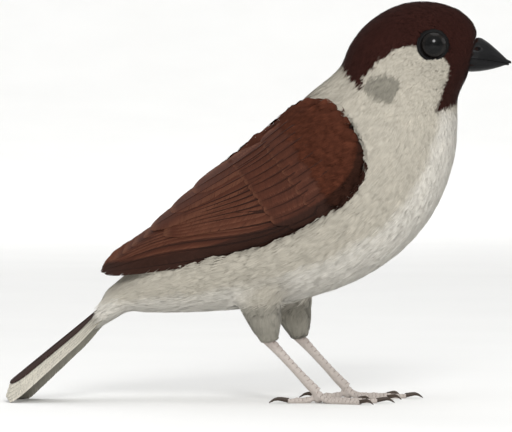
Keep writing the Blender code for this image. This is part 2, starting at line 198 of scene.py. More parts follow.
def curve_through(points, count):
    """count points along a smooth curve through a few points."""
    points = np.asarray(points, float)
    padded = np.vstack([2 * points[0] - points[1], points, 2 * points[-1] - points[-2]])
    out = []
    for t in np.linspace(0, len(points) - 1, count):
        i = min(int(t), len(points) - 2)
        u = t - i
        a, b, c, d = padded[i : i + 4]
        curved = (2 * a - 5 * b + 4 * c - d) * u**2 + (3 * b - a - 3 * c + d) * u**3
        out.append(0.5 * (2 * b + (c - a) * u + curved))
    return np.array(out)


def inside(outline, x, z):
    """Signed distance, in millimetres, into a closed outline of (x, z) points: positive inside."""
    best = np.full(x.shape, 1e9)
    odd = np.zeros(x.shape, bool)
    for (ax, az), (bx, bz) in zip(outline, np.roll(outline, -1, axis=0)):
        dx, dz = bx - ax, bz - az
        along = np.clip(((x - ax) * dx + (z - az) * dz) / (dx**2 + dz**2 + 1e-9), 0, 1)
        best = np.minimum(best, np.hypot(x - ax - along * dx, z - az - along * dz))
        odd ^= ((az > z) != (bz > z)) & (x < dx * (z - az) / (dz + 1e-12) + ax)
    return np.where(odd, best, -best)


def within(outline, x, z, soft):
    """1 inside an outline and 0 outside, with a soft border."""
    return ramp(inside(outline, x, z), -soft, soft)


# ---------------------------------------------------------------------------------- meshes, surfaces


def quads(*corners):
    """Faces from four arrays of point numbers, one for each corner."""
    return np.stack(corners, axis=-1).reshape(-1, 4)


def listed(*arrays):
    """Each array with all of its axes but the last run together."""
    return [a.reshape(-1, a.shape[-1]) for a in arrays]


def joined(parts):
    """The points, faces and what else each point has, of several parts as of one."""
    columns = list(zip(*parts))
    starts = np.cumsum([0] + [len(points) for points in columns[0]])
    columns[1] = [faces + start for faces, start in zip(columns[1], starts)]
    return [np.vstack(column) for column in columns]


def mesh_arrays(bm):
    """The points and triangles of a bmesh, which is then freed."""
    bmesh.ops.triangulate(bm, faces=bm.faces)
    bm.verts.index_update()
    co = np.array([v.co for v in bm.verts])
    faces = np.array([[v.index for v in f.verts] for f in bm.faces])
    bm.free()
    return co, faces


def node_arrays(name):
    """A CAD node's welded points and triangles."""
    bm = bmesh.new()
    bm.from_mesh(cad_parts[name].data)
    bmesh.ops.remove_doubles(bm, verts=bm.verts, dist=1e-6)
    co, faces = mesh_arrays(bm)
    return co / MM, faces


def hull(*parts):
    """The convex hull of points."""
    bm = bmesh.new()
    for point in np.vstack(parts):
        bm.verts.new(point)
    made = bmesh.ops.convex_hull(bm, input=bm.verts)
    loose = [v for v in made["geom_interior"] if isinstance(v, bmesh.types.BMVert)]
    bmesh.ops.delete(bm, geom=loose, context="VERTS")
    return mesh_arrays(bm)


def corner_normals(co, faces):
    """Each point's normal, from the faces around it."""
    a, b, c = (co[faces[:, k]] for k in range(3))
    across = np.cross(b - a, c - a)
    if faces.shape[1] == 4:
        across = across + np.cross(c - a, co[faces[:, 3]] - a)
    total = np.zeros_like(co)
    for k in range(faces.shape[1]):
        for axis in range(3):
            total[:, axis] += np.bincount(faces[:, k], across[:, axis], len(co))
    return unit(total)


def relaxed(co, faces, rounds):
    """Smooths a mesh without shrinking it."""
    ring = np.vstack([faces[:, [k, (k + 1) % faces.shape[1]]] for k in range(faces.shape[1])])
    count = np.bincount(ring.ravel(), minlength=len(co))[:, None]
    for k in range(2 * rounds):
        total = np.empty_like(co)
        for axis in range(3):
            total[:, axis] = np.bincount(ring[:, 0], co[ring[:, 1], axis], len(co))
            total[:, axis] += np.bincount(ring[:, 1], co[ring[:, 0], axis], len(co))
        co = co + (0.5, -0.52)[k % 2] * (total / count - co)
    return co


def fused(parts, voxel, swell, rounds):
    """One closed surface around several closed meshes, which are first swollen so that they meet."""
    points, polygons = joined([(co + corner_normals(co, faces) * swell, faces) for co, faces in parts])
    mesh = bpy.data.meshes.new("fused")
    mesh.from_pydata(points.tolist(), [], polygons.tolist())
    obj = bpy.data.objects.new("fused", mesh)
    bpy.context.scene.collection.objects.link(obj)
    remesh = obj.modifiers.new("remesh", "REMESH")
    remesh.mode, remesh.voxel_size = "VOXEL", voxel
    made = bpy.data.meshes.new_from_object(obj.evaluated_get(bpy.context.evaluated_depsgraph_get()))
    co = np.empty(len(made.vertices) * 3)
    made.vertices.foreach_get("co", co)
    corners = np.empty(len(made.loops), int)
    made.loops.foreach_get("vertex_index", corners)
    bpy.data.objects.remove(obj)
    faces = corners.reshape(-1, 4)
    co = relaxed(co.reshape(-1, 3), faces, rounds)
    return co - corner_normals(co, faces) * swell, faces


def lengthened(co, axis, extra, within):
    """Moves the points within some reach of a form's end out along an axis."""
    reach = co @ axis
    return co + axis * (extra * ramp(reach, reach.max() - within, reach.max() - 0.5 * within))[:, None]


class Surface:
    """A mesh that can be asked for its nearest point, or for where a ray meets it."""

    def __init__(self, co, faces):
        self.co, self.faces = co, faces
        self.face_normals = unit(corner_normals(co, faces)[faces].mean(axis=1))
        self.tree = BVHTree.FromPolygons(co.tolist(), faces.tolist())

    def nearest(self, points):
        places, normals = np.empty_like(points), np.empty_like(points)
        for i, point in enumerate(points):
            place, _, index, _ = self.tree.find_nearest(point)
            places[i], normals[i] = place, self.face_normals[index]
        return places, normals

    def gap(self, points):
        return magnitude(self.nearest(points)[0] - points)

    def hit(self, origin, direction):
        place, _, index, _ = self.tree.ray_cast(Vector(origin), Vector(direction))
        return (None, None) if place is None else (np.array(place), self.face_normals[index])

    def scattered(self, count, rng):
        """Random points spread evenly over the surface, with their normals."""
        a, b, c, d = (self.co[corner] for corner in self.faces.T)
        area = magnitude(np.cross(c - a, d - b))
        picked = rng.choice(len(self.faces), count, p=area / area.sum())
        u, v = rng.random((2, count, 1))
        a, b, c, d = taken(picked, a, b, c, d)
        return (a * (1 - u) + b * u) * (1 - v) + (d * (1 - u) + c * u) * v, self.face_normals[picked]


def thinned(points, spacing, rng):
    """The indexes of points left when each one clears its own spacing around it."""
    tree = kdtree.KDTree(len(points))
    for i, point in enumerate(points):
        tree.insert(point, i)
    tree.balance()
    spacing = spacing * np.ones(len(points))
    free = np.ones(len(points), bool)
    kept = []
    for i in rng.permutation(len(points)):
        if free[i]:
            kept.append(i)
            for _, j, _ in tree.find_range(points[i], spacing[i]):
                free[j] = False
    return np.array(kept)


def new_piece(name, slot, material, co, faces, colours=None, bake=None, vane=None):
    """A piece from its points in millimetres, its faces and what is painted on them."""
    mesh = bpy.data.meshes.new(name)
    mesh.vertices.add(len(co))
    mesh.vertices.foreach_set("co", (co * MM).ravel().astype(np.float32))
    mesh.loops.add(faces.size)
    mesh.loops.foreach_set("vertex_index", faces.ravel().astype(np.int32))
    mesh.polygons.add(len(faces))
    mesh.polygons.foreach_set("loop_start", np.arange(0, faces.size, faces.shape[1], dtype=np.int32))
    mesh.update(calc_edges=True)
    if colours is not None:
        rgba = np.column_stack([colours, np.ones(len(co))]).astype(np.float32)
        mesh.attributes.new("Marking", "FLOAT_COLOR", "POINT").data.foreach_set("color", rgba.ravel())
    for layer, uv in (("OFBake", bake), ("Vane", vane)):
        if uv is not None:
            data = mesh.uv_layers.new(name=layer).uv
            data.foreach_set("vector", uv[faces.ravel()].astype(np.float32).ravel())
    mesh.shade_smooth()
    mesh.materials.append(materials[material])
    obj = bpy.data.objects.new(name, mesh)
    bpy.context.scene.collection.objects.link(obj)
    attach(obj, BODY)
    return obj


# ----------------------------------------------------------------------------------------- materials


class Shader:
    """A Principled material, built node by node."""

    def __init__(self, name, **values):
        self.material = bpy.data.materials.new(name)
        self.material.use_nodes = True
        self.tree = self.material.node_tree
        self.principled = self.tree.nodes["Principled BSDF"]
        for socket, value in values.items():
            self.principled.inputs[socket.replace("_", " ")].default_value = value
        self.place = self.node("TexCoord").outputs["Object"]

    def node(self, kind, inputs=None, **settings):
        made = self.tree.nodes.new("ShaderNode" + kind)
        for key, value in settings.items():
            setattr(made, key, value)
        for key, value in (inputs or {}).items():
            if isinstance(value, bpy.types.NodeSocket):
                self.tree.links.new(value, made.inputs[key])
            else:
                made.inputs[key].default_value = value
        return made

    def link(self, output, socket):
        self.tree.links.new(output, self.principled.inputs[socket])

    def noise(self, vector, scale, detail, distortion=0.0):
        inputs = {"Vector": vector, "Scale": scale, "Detail": detail, "Distortion": distortion}
        return self.node("TexNoise", inputs).outputs["Fac"]

    def scaled(self, vector, scale):
        return self.node("Mapping", {"Vector": vector, "Scale": scale}).outputs["Vector"]

    def between(self, value, low, high):
        """Maps 0..1 to low..high."""
        return self.node("MapRange", {"Value": value, "To Min": low, "To Max": high}).outputs["Result"]

    def toned(self, tone, colour=None):
        """Colours the material with one colour or with the marking painted on the mesh, times a tone."""
        if colour is None:
            base = self.node("Attribute", attribute_name="Marking").outputs["Color"]
        else:
            base = (*colour, 1.0)
        made = self.node("HueSaturation", {"Color": base, "Value": tone})
        self.link(made.outputs["Color"], "Base Color")

    def bump(self, height, strength, distance):
        made = self.node("Bump", {"Height": height, "Strength": strength, "Distance": distance * MM})
        self.link(made.outputs["Normal"], "Normal")


def plumage_material(name, barbs, contrast, bump, **values):
    """Feathers: the marking, broken into fine barbs across each vane, with a soft change of tone."""
    shader = Shader(name, **values)
    vane = shader.node("UVMap", uv_map="Vane").outputs["UV"]
    streaks = shader.noise(shader.scaled(vane, (barbs, barbs * 0.12, 1.0)), scale=1.0, detail=2.0)
    fine = shader.between(streaks, 1 - contrast, 1 + contrast)
    broad = shader.between(shader.noise(shader.place, scale=260.0, detail=3.0), 0.88, 1.12)
    shader.toned(shader.node("Math", {0: fine, 1: broad}, operation="MULTIPLY").outputs[0])
    shader.bump(streaks, strength=bump, distance=0.06)
    return shader.material


def skin_material():
    """Skin: painted with the coat's markings, and scaled on the legs by its own mesh."""
    shader = Shader("skin", Roughness=0.5, Specular_IOR_Level=0.1)
    grain = shader.noise(shader.place, scale=1400.0, detail=4.0)
    pores = shader.node("TexVoronoi", {"Vector": shader.place, "Scale": 2600.0}).outputs["Distance"]
    shader.toned(shader.between(grain, 0.78, 1.2))
    shader.link(shader.between(grain, 0.42, 0.66), "Roughness")
    shader.bump(pores, strength=0.3, distance=0.05)
    return shader.material


def horn_material(name, colour, smooth, rough, stretch):
    """Horn: nearly even in colour, with fine growth lines along it."""
    shader = Shader(name, Specular_IOR_Level=0.12, Coat_Weight=0.02, Coat_Roughness=0.25)
    along = shader.scaled(shader.place, (stretch, 1.0, 1.0))
    grain = shader.noise(along, scale=900.0, detail=5.0, distortion=0.4)
    shader.toned(shader.between(grain, 0.6, 1.5), colour)
    shader.link(shader.between(grain, smooth, rough), "Roughness")
    shader.bump(grain, strength=0.25, distance=0.05)
    return shader.material


def eye_material():
    """A wet, nearly black eye: its iris and pupil are painted under a clear coat."""
    shader = Shader("eye_wet", Roughness=0.3, Specular_IOR_Level=0.05, Coat_Weight=0.9, Coat_Roughness=0.02,
                    Coat_IOR=1.27)
    rays = shader.noise(shader.place, scale=2200.0, detail=3.0)
    shader.toned(shader.between(rays, 0.6, 1.4))
    return shader.material


def make_materials():
    """Every material of the bird, by the name that new_piece looks it up with."""
    return {
        "contour": plumage_material("contour_plumage", barbs=5.0, contrast=0.25, bump=0.4, Roughness=0.8,
                                    Specular_IOR_Level=0.06, Sheen_Weight=0.01, Sheen_Roughness=0.5),
        "down": plumage_material("soft_plumage", barbs=4.0, contrast=0.12, bump=0.2, Roughness=0.8,
                                 Specular_IOR_Level=0.1, Sheen_Weight=0.15, Sheen_Roughness=0.6),
        "quill": plumage_material("quill_plumage", barbs=4.0, contrast=0.25, bump=0.5, Roughness=0.6,
                                  Specular_IOR_Level=0.12, Sheen_Weight=0.01, Sheen_Roughness=0.4),
        "tail": plumage_material("tail_plumage", barbs=4.0, contrast=0.12, bump=0.3, Roughness=0.65,
                                 Specular_IOR_Level=0.1, Sheen_Weight=0.05, Sheen_Roughness=0.5),
        "skin": skin_material(),
        "bill": horn_material("bill_horn", BILL_BLACK, smooth=0.32, rough=0.5, stretch=0.35),
        "claw": horn_material("claw_horn", CLAW_BROWN, smooth=0.25, rough=0.45, stretch=0.5),
        "eye": eye_material(),
    }


# ------------------------------------------------------------------ where things are, from the frame


class Bird:
    """Places on the bird, all from the CAD nodes, in millimetres."""

    def __init__(self):
        upper, lower = self.box("bill_upper"), self.box("bill_lower")
        self.bill_base = np.array([lower[0][0] - 0.6, 0.0, lower[1][2]])
        self.bill_box = np.array([np.minimum(upper[0], lower[0]), np.maximum(upper[1], lower[1])])
        low, high = self.box("eye_left")
        self.eye = (low + high) / 2
        self.eye_radius = (high[2] - low[2]) / 2
        self.trunk, _ = node_arrays("trunk")
        self.tail_root = self.trunk[np.argmin(self.trunk[:, 0])] * (1, 0, 1)
        self.spine = self.make_spine()
        self.tangents = unit(np.gradient(self.spine, axis=0))
        along = unit(np.mean(self.box("neck"), axis=0) * (1, 0, 1) - self.tail_root)
        self.up = np.array([-along[2], 0, along[0]])
        self.thighs = {side: self.thigh_axis(side) for side in SIDES}
        under = np.abs(self.trunk[:, 0] - self.thighs["right"][0][0]) < 8
        self.belly_low = self.trunk[under, 2].min()

    @staticmethod
    def box(node):
        low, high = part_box(node)
        return np.array(low) / MM, np.array(high) / MM

    def make_spine(self):
        """A curve down the middle of the body, from the bill to the tail root."""
        head, neck = (np.mean(self.box(node), axis=0) for node in ("head", "neck"))
        points = [self.bill_base, head * (1, 0, 1), neck * (1, 0, 1)]
        reach = (self.trunk - self.tail_root) @ unit(neck - self.tail_root)
        for share in (0.82, 0.64, 0.46, 0.28, 0.12):
            slab = self.trunk[np.abs(reach - share * reach.max()) < 0.06 * reach.max()]
            points.append((slab.min(axis=0) + slab.max(axis=0)) / 2 * (1, 0, 1))
        points.append(self.tail_root - (0, 0, 1.5))
        return curve_through(points, 80)

    def off_spine(self, points):
        """The distance from each point to each place along the spine."""
        return magnitude(points[:, None] - self.spine[None])

    def above_spine(self, points):
        nearest = self.off_spine(points).argmin(axis=1)
        return (points - self.spine[nearest]) @ self.up

    def on_back(self, points):
        return self.above_spine(points) > BACK_HEIGHT

    def from_bill(self, points):
        return magnitude(points - self.bill_base)

    def side_view(self, points):
        """Offsets in x and z from the middle of the eye."""
        return points[:, 0] - self.eye[0], points[:, 2] - self.eye[2]

    def beside_eye(self, points):
        """Each point's distance from the axis through the eyes, and the way out from that axis."""
        away = points * (1, 0, 1) - self.eye * (1, 0, 1)
        return magnitude(away), unit(away)

    def at_eye(self, points, radius, behind):
        """True close round an eye, on the side of the head and no further behind the eye than given."""
        distance, _ = self.beside_eye(points)
        return (distance < radius) & (points[:, 0] > self.eye[0] - behind) & (np.abs(points[:, 1]) > 4)

    def on_bill(self, points):
        """True where the bill comes out of the head."""
        low, high = self.bill_box + ((-0.5, 0, 0.9), (0, -0.8, -0.9))
        x, y, z = points.T
        return (x > low[0]) & (np.abs(y) < high[1]) & (z > low[2]) & (z < high[2])

    @staticmethod
    def thigh_axis(side):
        co, _ = node_arrays("thigh_" + side)
        height = co[:, 2]
        top, low = co[height > height.max() - 2.0], co[height < height.min() + 0.4]
        return top.mean(axis=0), low.mean(axis=0)

    def on_thigh(self, points):
        """How much each point belongs to a thigh, and the way down it."""
        share, down = np.zeros(len(points)), np.zeros_like(points)
        below = 1 - ramp(points[:, 2], self.belly_low - 2.0, self.belly_low + 2.0)
        for side, sign in SIDES.items():
            top, low = self.thighs[side]
            along = unit(low - top)
            reach = np.clip((points - top) @ along, 0, magnitude(low - top))
            off = magnitude(points - top - reach[:, None] * along)
            here = (1 - ramp(off, 4.5, 9.0)) * below * (points[:, 1] * sign > 0)
            share, down = np.maximum(share, here), down + here[:, None] * along
        return share, unit(down)

    def above_thigh(self, points):
        """How much each point lies where a thigh swells the flank. The coat there is painted darker as
        painted shade, against the stronger light on the thigh's top.
        """
        share = np.zeros(len(points))
        for top, low in self.thighs.values():
            middle = top + (low - top) * np.clip((self.belly_low + 1.5 - top[2]) / (low[2] - top[2]), 0, 1)
            off = magnitude((points - middle) * (1, 1, 0.8))
            share = np.maximum(share, 1 - ramp(off, 3.0, 9.0))
        return share

    def flow(self, points, normals):
        """The way the feathers lie: back from the bill along the spine, round the eyes, down the thighs."""
        apart = self.off_spine(points)
        weights = np.exp(-((apart - apart.min(axis=1, keepdims=True)) / 5.0))
        along = unit(weights @ self.tangents)
        lie = mixed(unit(points - self.bill_base), along, ramp(self.from_bill(points), 6.0, 26.0))
        distance, away = self.beside_eye(points)
        into = np.maximum(-np.sum(lie * away, axis=1), 0)
        near = np.exp(-(((distance - self.eye_radius) / 2.6) ** 2))
        lie = lie + away * (1.25 * into * near)[:, None]
        share, down = self.on_thigh(points)
        lie = mixed(unit(lie), down, share)
        return unit(lie - normals * dot(lie, normals))

    def unrolled(self, points):
        """Each point's place on the skin laid out flat: along the spine, and round it."""
        nearest = self.off_spine(points).argmin(axis=1)
        tangent = self.tangents[nearest]
        off = points - self.spine[nearest]
        station = (nearest + np.sum(off * tangent, axis=1) / 1.2) / len(self.spine)
        above = off[:, 0] * tangent[:, 2] - off[:, 2] * tangent[:, 0]
        return np.column_stack([station, np.arctan2(off[:, 1], -above) / (2 * math.pi)])


def make_forms():
    """The body without and with the wings, its hollows filled between them and at the tail root."""
    parts = [node_arrays(name) for name in ("trunk", "neck", "thigh_left", "thigh_right")]
    parts += [node_arrays("tail_" + name) for name in ("centre", "left", "right")]
    tails = np.vstack([co for co, _ in parts[-3:]]) * (1, 0.7, 1)
    root = bird.tail_root[0]
    parts.append(hull(node_arrays("head")[0]))
    parts.append(hull(bird.trunk[bird.trunk[:, 0] < root + 6], tails[tails[:, 0] > root - 4]))
    wing = wings["left"]
    for reach in np.arange(wing.tip + 16, wing.bend - 2, 2.5):
        sunk = 1.3 + 4.0 * (1 - ramp(reach, wing.tip + 16, wing.tip + 38))
        edges = [(w.upper_edge(reach, 2.2) - wing.rise * sunk) * (1, 0.85, 1) for w in wings.values()]
        parts.append(hull(*edges))
    body = Surface(*fused(parts, voxel=0.6, swell=0.3, rounds=8))
    parts += [node_arrays(f"wing_{side}_{part}") for side in SIDES for part in WING_PARTS]
    return body, Surface(*fused(parts, voxel=0.6, swell=0.3, rounds=8))


# ------------------------------------------------------------------------------------- soft feathers


def coat_colours(points, normals, rng):
    """The marking of each feather, from where it grows. Borders are ragged by part of a millimetre."""
    x, z = (offset + rng.normal(0, LOOSE_BORDER, len(points)) for offset in bird.side_view(points))
    # The paler belly is partly the bird's own colour and partly painted light, against the shade on its
    # downward-facing side.
    colour = mixed(BREAST, BELLY, within(BELLY_OUTLINE, x, z, soft=1.2))
    dorsal = ramp(normals @ bird.up, 0.15, 0.5) * ramp(bird.above_spine(points), 3.0, 7.0)
    dorsal = dorsal * (1 - ramp(points[:, 0], *MANTLE_FRONT))
    stripe = np.sin(points[:, 1] * 2.1 + 1.3 * np.sin(points[:, 0] * 0.35))
    mantle = mixed(MANTLE, MANTLE_STREAK, ramp(stripe, 0.1, 0.7))
    colour = mixed(colour, mixed(mantle, RUMP, 1 - ramp(points[:, 0], *RUMP_FRONT)), dorsal)
    # Painted shade: the flank over each thigh is darker, against the stronger light that falls there.
    colour = mixed(colour, np.multiply(BREAST, 0.9), bird.above_thigh(points))
    colour = mixed(colour, THIGH, ramp(bird.on_thigh(points)[0], 0.03, 0.3))
    colour = mixed(colour, EAR_PATCH, within(EAR_OUTLINE, x, z, soft=0.5))
    cap = within(CAP_OUTLINE, x, z, soft=0.35) * (1 - within(CHEEK_OUTLINE, x, z, soft=0.3))
    return mixed(colour, CAP, cap)


def feather_paths(form, flow, roots, normals, lengths, yaw):
    """Each feather's middle line over the form: its places, normals and sideways directions at stations."""
    stations = 4
    places, ups, aheads = [roots], [normals], []
    stride = lengths[:, None] / (stations - 1)
    for _ in range(stations):
        ahead = flow(places[-1], ups[-1])
        ahead = ahead * np.cos(yaw)[:, None] + np.cross(ups[-1], ahead) * np.sin(yaw)[:, None]
        aheads.append(ahead)
        if len(aheads) == stations:
            break
        near, up = form.nearest(places[-1] + ahead * stride)
        turned = dot(up, ups[-1]) < 0.45
        stride = np.where(turned, 0.15 * stride, stride)
        places.append(np.where(turned, places[-1] + ahead * stride, near))
        ups.append(unit(np.where(turned, ups[-1], up)))
    places, ups, aheads = (np.stack(a, axis=1) for a in (places, ups, aheads))
    return places, ups, np.cross(ups, aheads)


def soft_feathers(form, flow, roots, normals, lengths, widths, depths, colours, strips, rows, rng,
                  loose=1.0, low=0.0):
    """Thin vanes, each a fan of locks of barbs. Returns points, faces, colours and both maps.

    strips is the number of locks and rows that of the faces along each one. depths are how deep the roots
    lie, and low is how much a feather as a whole lies below its neighbours. loose is how ragged they are.
    """
    count = len(roots)
    yaw = rng.normal(0, 0.09 * loose, count)
    places, ups, sides = feather_paths(form, flow, roots, normals, lengths, yaw)
    last = places.shape[1] - 1
    across = (np.arange(strips) + 0.5) / strips * 2 - 1
    t = np.linspace(0, 1, rows + 1)
    reach = (1 - 0.38 * across**2)[None, :] * rng.uniform(0.86, 1.08, (count, strips))
    s = np.clip(reach[:, :, None] * t, 0, 1)
    cell = np.minimum((s * last).astype(int), last - 1)
    share = (s * last - cell)[..., None]
    feather = np.arange(count)[:, None, None]

    def along(values):
        return values[feather, cell] * (1 - share) + values[feather, cell + 1] * share

    middle, up, side = along(places), along(ups), along(sides)
    wide, long, deep, low = (np.reshape(a, (-1, 1, 1)) for a in (widths, lengths, depths, low))
    across = across[None, :, None]
    spread = (0.22 + 0.78 * ramp(t, 0.0, 0.55)) * (1 - 0.22 * ramp(t, 0.55, 1.0))
    taper = 1 - 0.86 * ramp(t, 0.5, 1.0)
    offset = across * spread * (wide / 2)
    offset = offset + rng.normal(0, 0.05, (count, strips, 1)) * wide * t * loose
    half = wide / strips * 0.62 * spread * taper * np.ones((1, strips, 1))
    over = np.minimum(0.3, 0.06 * long)
    sunk = (deep - over) * np.maximum(1 - s / 0.4, 0) ** 1.3 + over * (1 - s) ** 1.2
    sunk = sunk + low * ramp(s, 0.0, 0.6)
    lift = rng.normal(0.03, 0.035, (count, 1, 1)) * s + rng.normal(0, 0.03, (count, strips, 1)) * t * loose
    roll = rng.normal(0, 0.07, (count, 1, 1)) * offset
    height = -sunk + lift + roll - 0.10 * wide * across**2
    edges = [middle + side * (offset + edge * half)[..., None] + up * height[..., None] for edge in (-1, 1)]
    tone = 1 + rng.normal(0, 0.045, (count, 1, 1)) + rng.normal(0, 0.035, (count, strips, 1))
    tone = tone * (0.8 + 0.2 * ramp(s, 0.1, 0.7))
    paint = np.repeat((colours[:, None, None] * tone[..., None])[:, :, :, None], 2, axis=3)
    index = np.arange(count * strips * (rows + 1) * 2).reshape(count * strips, rows + 1, 2)
    faces = quads(index[:, :-1, 0], index[:, :-1, 1], index[:, 1:, 1], index[:, 1:, 0])
    bake, vane = soft_maps(roots, offset, half, s, wide, long, rng)
    return listed(np.stack(edges, axis=3), faces, paint, bake, vane)


def soft_maps(roots, offset, half, s, wide, long, rng):
    """The bake map, where each feather has a small patch at its root's place on the skin laid out flat, and
    the vane map, in millimetres across and along each feather."""
    flat = bird.unrolled(roots)
    flat = 0.01 + 0.975 * (flat - flat.min(axis=0)) / (flat.max(axis=0) - flat.min(axis=0))
    u = (offset[..., None] + np.array([-1.0, 1.0]) * half[..., None]) / wide[..., None] + 0.5
    v = np.repeat(s[..., None], 2, axis=3)
    bake = flat[:, None, None, None] + 0.003 * np.clip(np.stack([u, v], axis=-1), 0, 1)
    vane = np.stack([u * wide[..., None], v * long[..., None]], axis=-1)
    return bake, vane + rng.uniform(0, 40, (len(roots), 1, 1, 1, 2))


def coat_depth(points):
    """How deep the coat is: thin at the bill and the ankles, full on the body."""
    depth = np.clip(0.35 + 0.03 * bird.from_bill(points), 0.4, 1.1)
    share, _ = bird.on_thigh(points)
    ankle = bird.thighs["right"][1][2]
    thin = 0.35 + 0.8 * ramp(points[:, 2], ankle, ankle + 9.0)
    return depth * (1 - share) + np.minimum(depth, thin) * share


def feather_length(points):
    """How long feathers are: short at the bill, round the eyes and on the thighs."""
    from_bill = bird.from_bill(points)
    length = np.clip(1.2 + 0.085 * from_bill, 1.4, 5.2)
    distance, _ = bird.beside_eye(points)
    near_eye = (1 - ramp(distance, LID_RADIUS, LID_RADIUS + 6.0)) * (from_bill < 24)
    length *= 1 - 0.35 * near_eye
    share, _ = bird.on_thigh(points)
    return length * (1 - share) + np.minimum(length, 3.6) * share


def on_wing(points, reach):
    """True where the point is in a folded wing, within reach outside it, or over its outer face."""
    on = np.zeros(len(points), bool)
    reach = reach * np.ones(len(points))
    for side, sign in SIDES.items():
        here = points[:, 1] * sign > 0
        near, normals = wings[side].form.nearest(points[here])
        off = points[here] - near
        on[here] = (magnitude(off) < reach[here]) | (np.sum(off * normals, axis=1) < 0)
        on[here] |= wings[side].covers(points[here])
    return on


def clear_of_wings(points, lie, lengths, reach):
    """How much of each feather's length is free before it meets a wing."""
    free = np.ones(len(points))
    for share in (1.0, 0.85, 0.7, 0.55, 0.4, 0.25):
        free = np.where(on_wing(points + lie * (share * lengths)[:, None], reach), share, free)
    return free


def under_wing(points, normals):
    """True where a folded wing covers the point. The skin there is painted dark as painted shade."""
    covered = np.zeros(len(points), bool)
    for i, (point, normal) in enumerate(zip(points, normals)):
        place, _ = wings["left" if point[1] > 0 else "right"].form.hit(point + normal * 0.2, normal)
        covered[i] = place is not None and magnitude(place - point) < 2.5
    return covered


def hidden_by_wing(points, normals, dorsal):
    """True where a wing hides the coat, or lies so close over it that feathers would come through."""
    hidden = np.zeros(len(points), bool)
    for side, sign in SIDES.items():
        wing = wings[side]
        here = np.flatnonzero(points[:, 1] * sign > 0)
        reach, turn = wing.chart(points[here])
        deep = (turn - wing.edges_at(reach)[0] > 0.3) | (not dorsal)
        limits = np.where(bird.on_back(points[here]), HIDES_ABOVE_BACK, HIDES_ELSEWHERE)
        limits = np.where(reach < wing.tip + TIP_LENGTH, HIDES_AT_TIP, limits)
        for i, far_in, limit in zip(here, deep, limits):
            place, out = wing.form.hit(points[i] + normals[i] * 0.05, normals[i])
            if place is not None:
                gap = magnitude(place - points[i])
                shallow = gap < 0.9 and out @ normals[i] > 0
                hidden[i] = shallow or (far_in and gap < limit)
    return hidden


def rooted(form, count, rng, dorsal):
    """Where feathers grow on a form, clear of the eyes, the bill, the tail and the wings."""
    points, normals = form.scattered(count, rng)
    back = (normals @ bird.up > 0.3) & bird.on_back(points) & (points[:, 0] < NAPE)
    back &= (np.abs(normals[:, 1]) < 0.85) | (points[:, 0] < SHOULDER)
    points, normals = taken(back == dorsal, points, normals)
    lengths = feather_length(points)
    points, normals, lengths = taken(thinned(points, lengths * COAT_SPACING, rng), points, normals, lengths)
    bare = bird.at_eye(points, LID_RADIUS, behind=6) | bird.on_bill(points)
    bare |= (points[:, 0] < bird.tail_root[0] + 0.5) | hidden_by_wing(points, normals, dorsal)
    if not dorsal:
        bare |= on_wing(points, 0.6 - 0.3 * ramp(points[:, 0], 5.0, 15.0))
        inward = normals[:, 1] * np.sign(points[:, 1]) < -0.3
        bare |= inward & ((points[:, 0] < LOIN) | bird.on_back(points))
    return taken(~bare, points, normals, lengths)


def coat_feathers(points, normals, lengths, rng):
    """What soft_feathers takes for each feather of the coat: its place, sizes, depth and colour."""
    seen = points + bird.flow(points, normals) * (SHOWN * lengths)[:, None]
    widths, depths = 0.5 * lengths + 0.1, coat_depth(points)
    return points, normals, lengths, widths, depths, coat_colours(seen, normals, rng)


def make_back(form, rng):
    """The soft feathers between the wings and on the rump."""
    points, normals, lengths = rooted(form, TRIES["back"], rng, True)
    free = clear_of_wings(points, bird.flow(points, normals), lengths, 0.1)
    points, normals, lengths = taken(free > 0.3, points, normals, lengths * free)
    feathers = coat_feathers(points, normals, lengths, rng)
    arrays = soft_feathers(form, bird.flow, *feathers, strips=9, rows=4, rng=rng)
    new_piece("coat_back", "grey_plumage", "contour", *arrays)


def make_coat(body, form):
    """The soft feathers of the head and body, in pieces by region."""
    rng = np.random.default_rng(11)
    make_back(body, rng)
    points, normals, lengths = rooted(form, TRIES["body"], rng, False)
    points, normals, lengths = taken(body.gap(points) < NEAR_BODY, points, normals, lengths)
    lie = bird.flow(points, normals)
    over_eye = bird.at_eye(points + lie * lengths[:, None], LID_RADIUS + 0.1, behind=7)
    free = clear_of_wings(points, lie, lengths, 0.8 - 0.6 * ramp(points[:, 0], 16, 22))
    lengths = lengths * np.maximum(free, 0.4 * (points[:, 0] > SHOULDER)) * np.where(over_eye, 0.45, 1.0)
    feathers = coat_feathers(points, normals, lengths, rng)
    tucked = 0.6 * (free < 1.0)
    places = (
        inside(CAP_OUTLINE, *bird.side_view(points)) > -2.0,
        bird.on_thigh(points)[0] >= 0.5,
        points[:, 0] > BREAST_END,
    )
    parts = np.select(places, ("head", "thigh", "breast"), "belly")
    for side in SIDES:
        for part, (slot, material, strips, rows) in COAT_PARTS.items():
            here = (parts == part) & ((points[:, 1] > 0) == (side == "left"))
            chosen = taken(here, *feathers)
            arrays = soft_feathers(form, bird.flow, *chosen, strips, rows, rng, low=tucked[here])
            new_piece(f"coat_{part}_{side}", slot, material, *arrays)


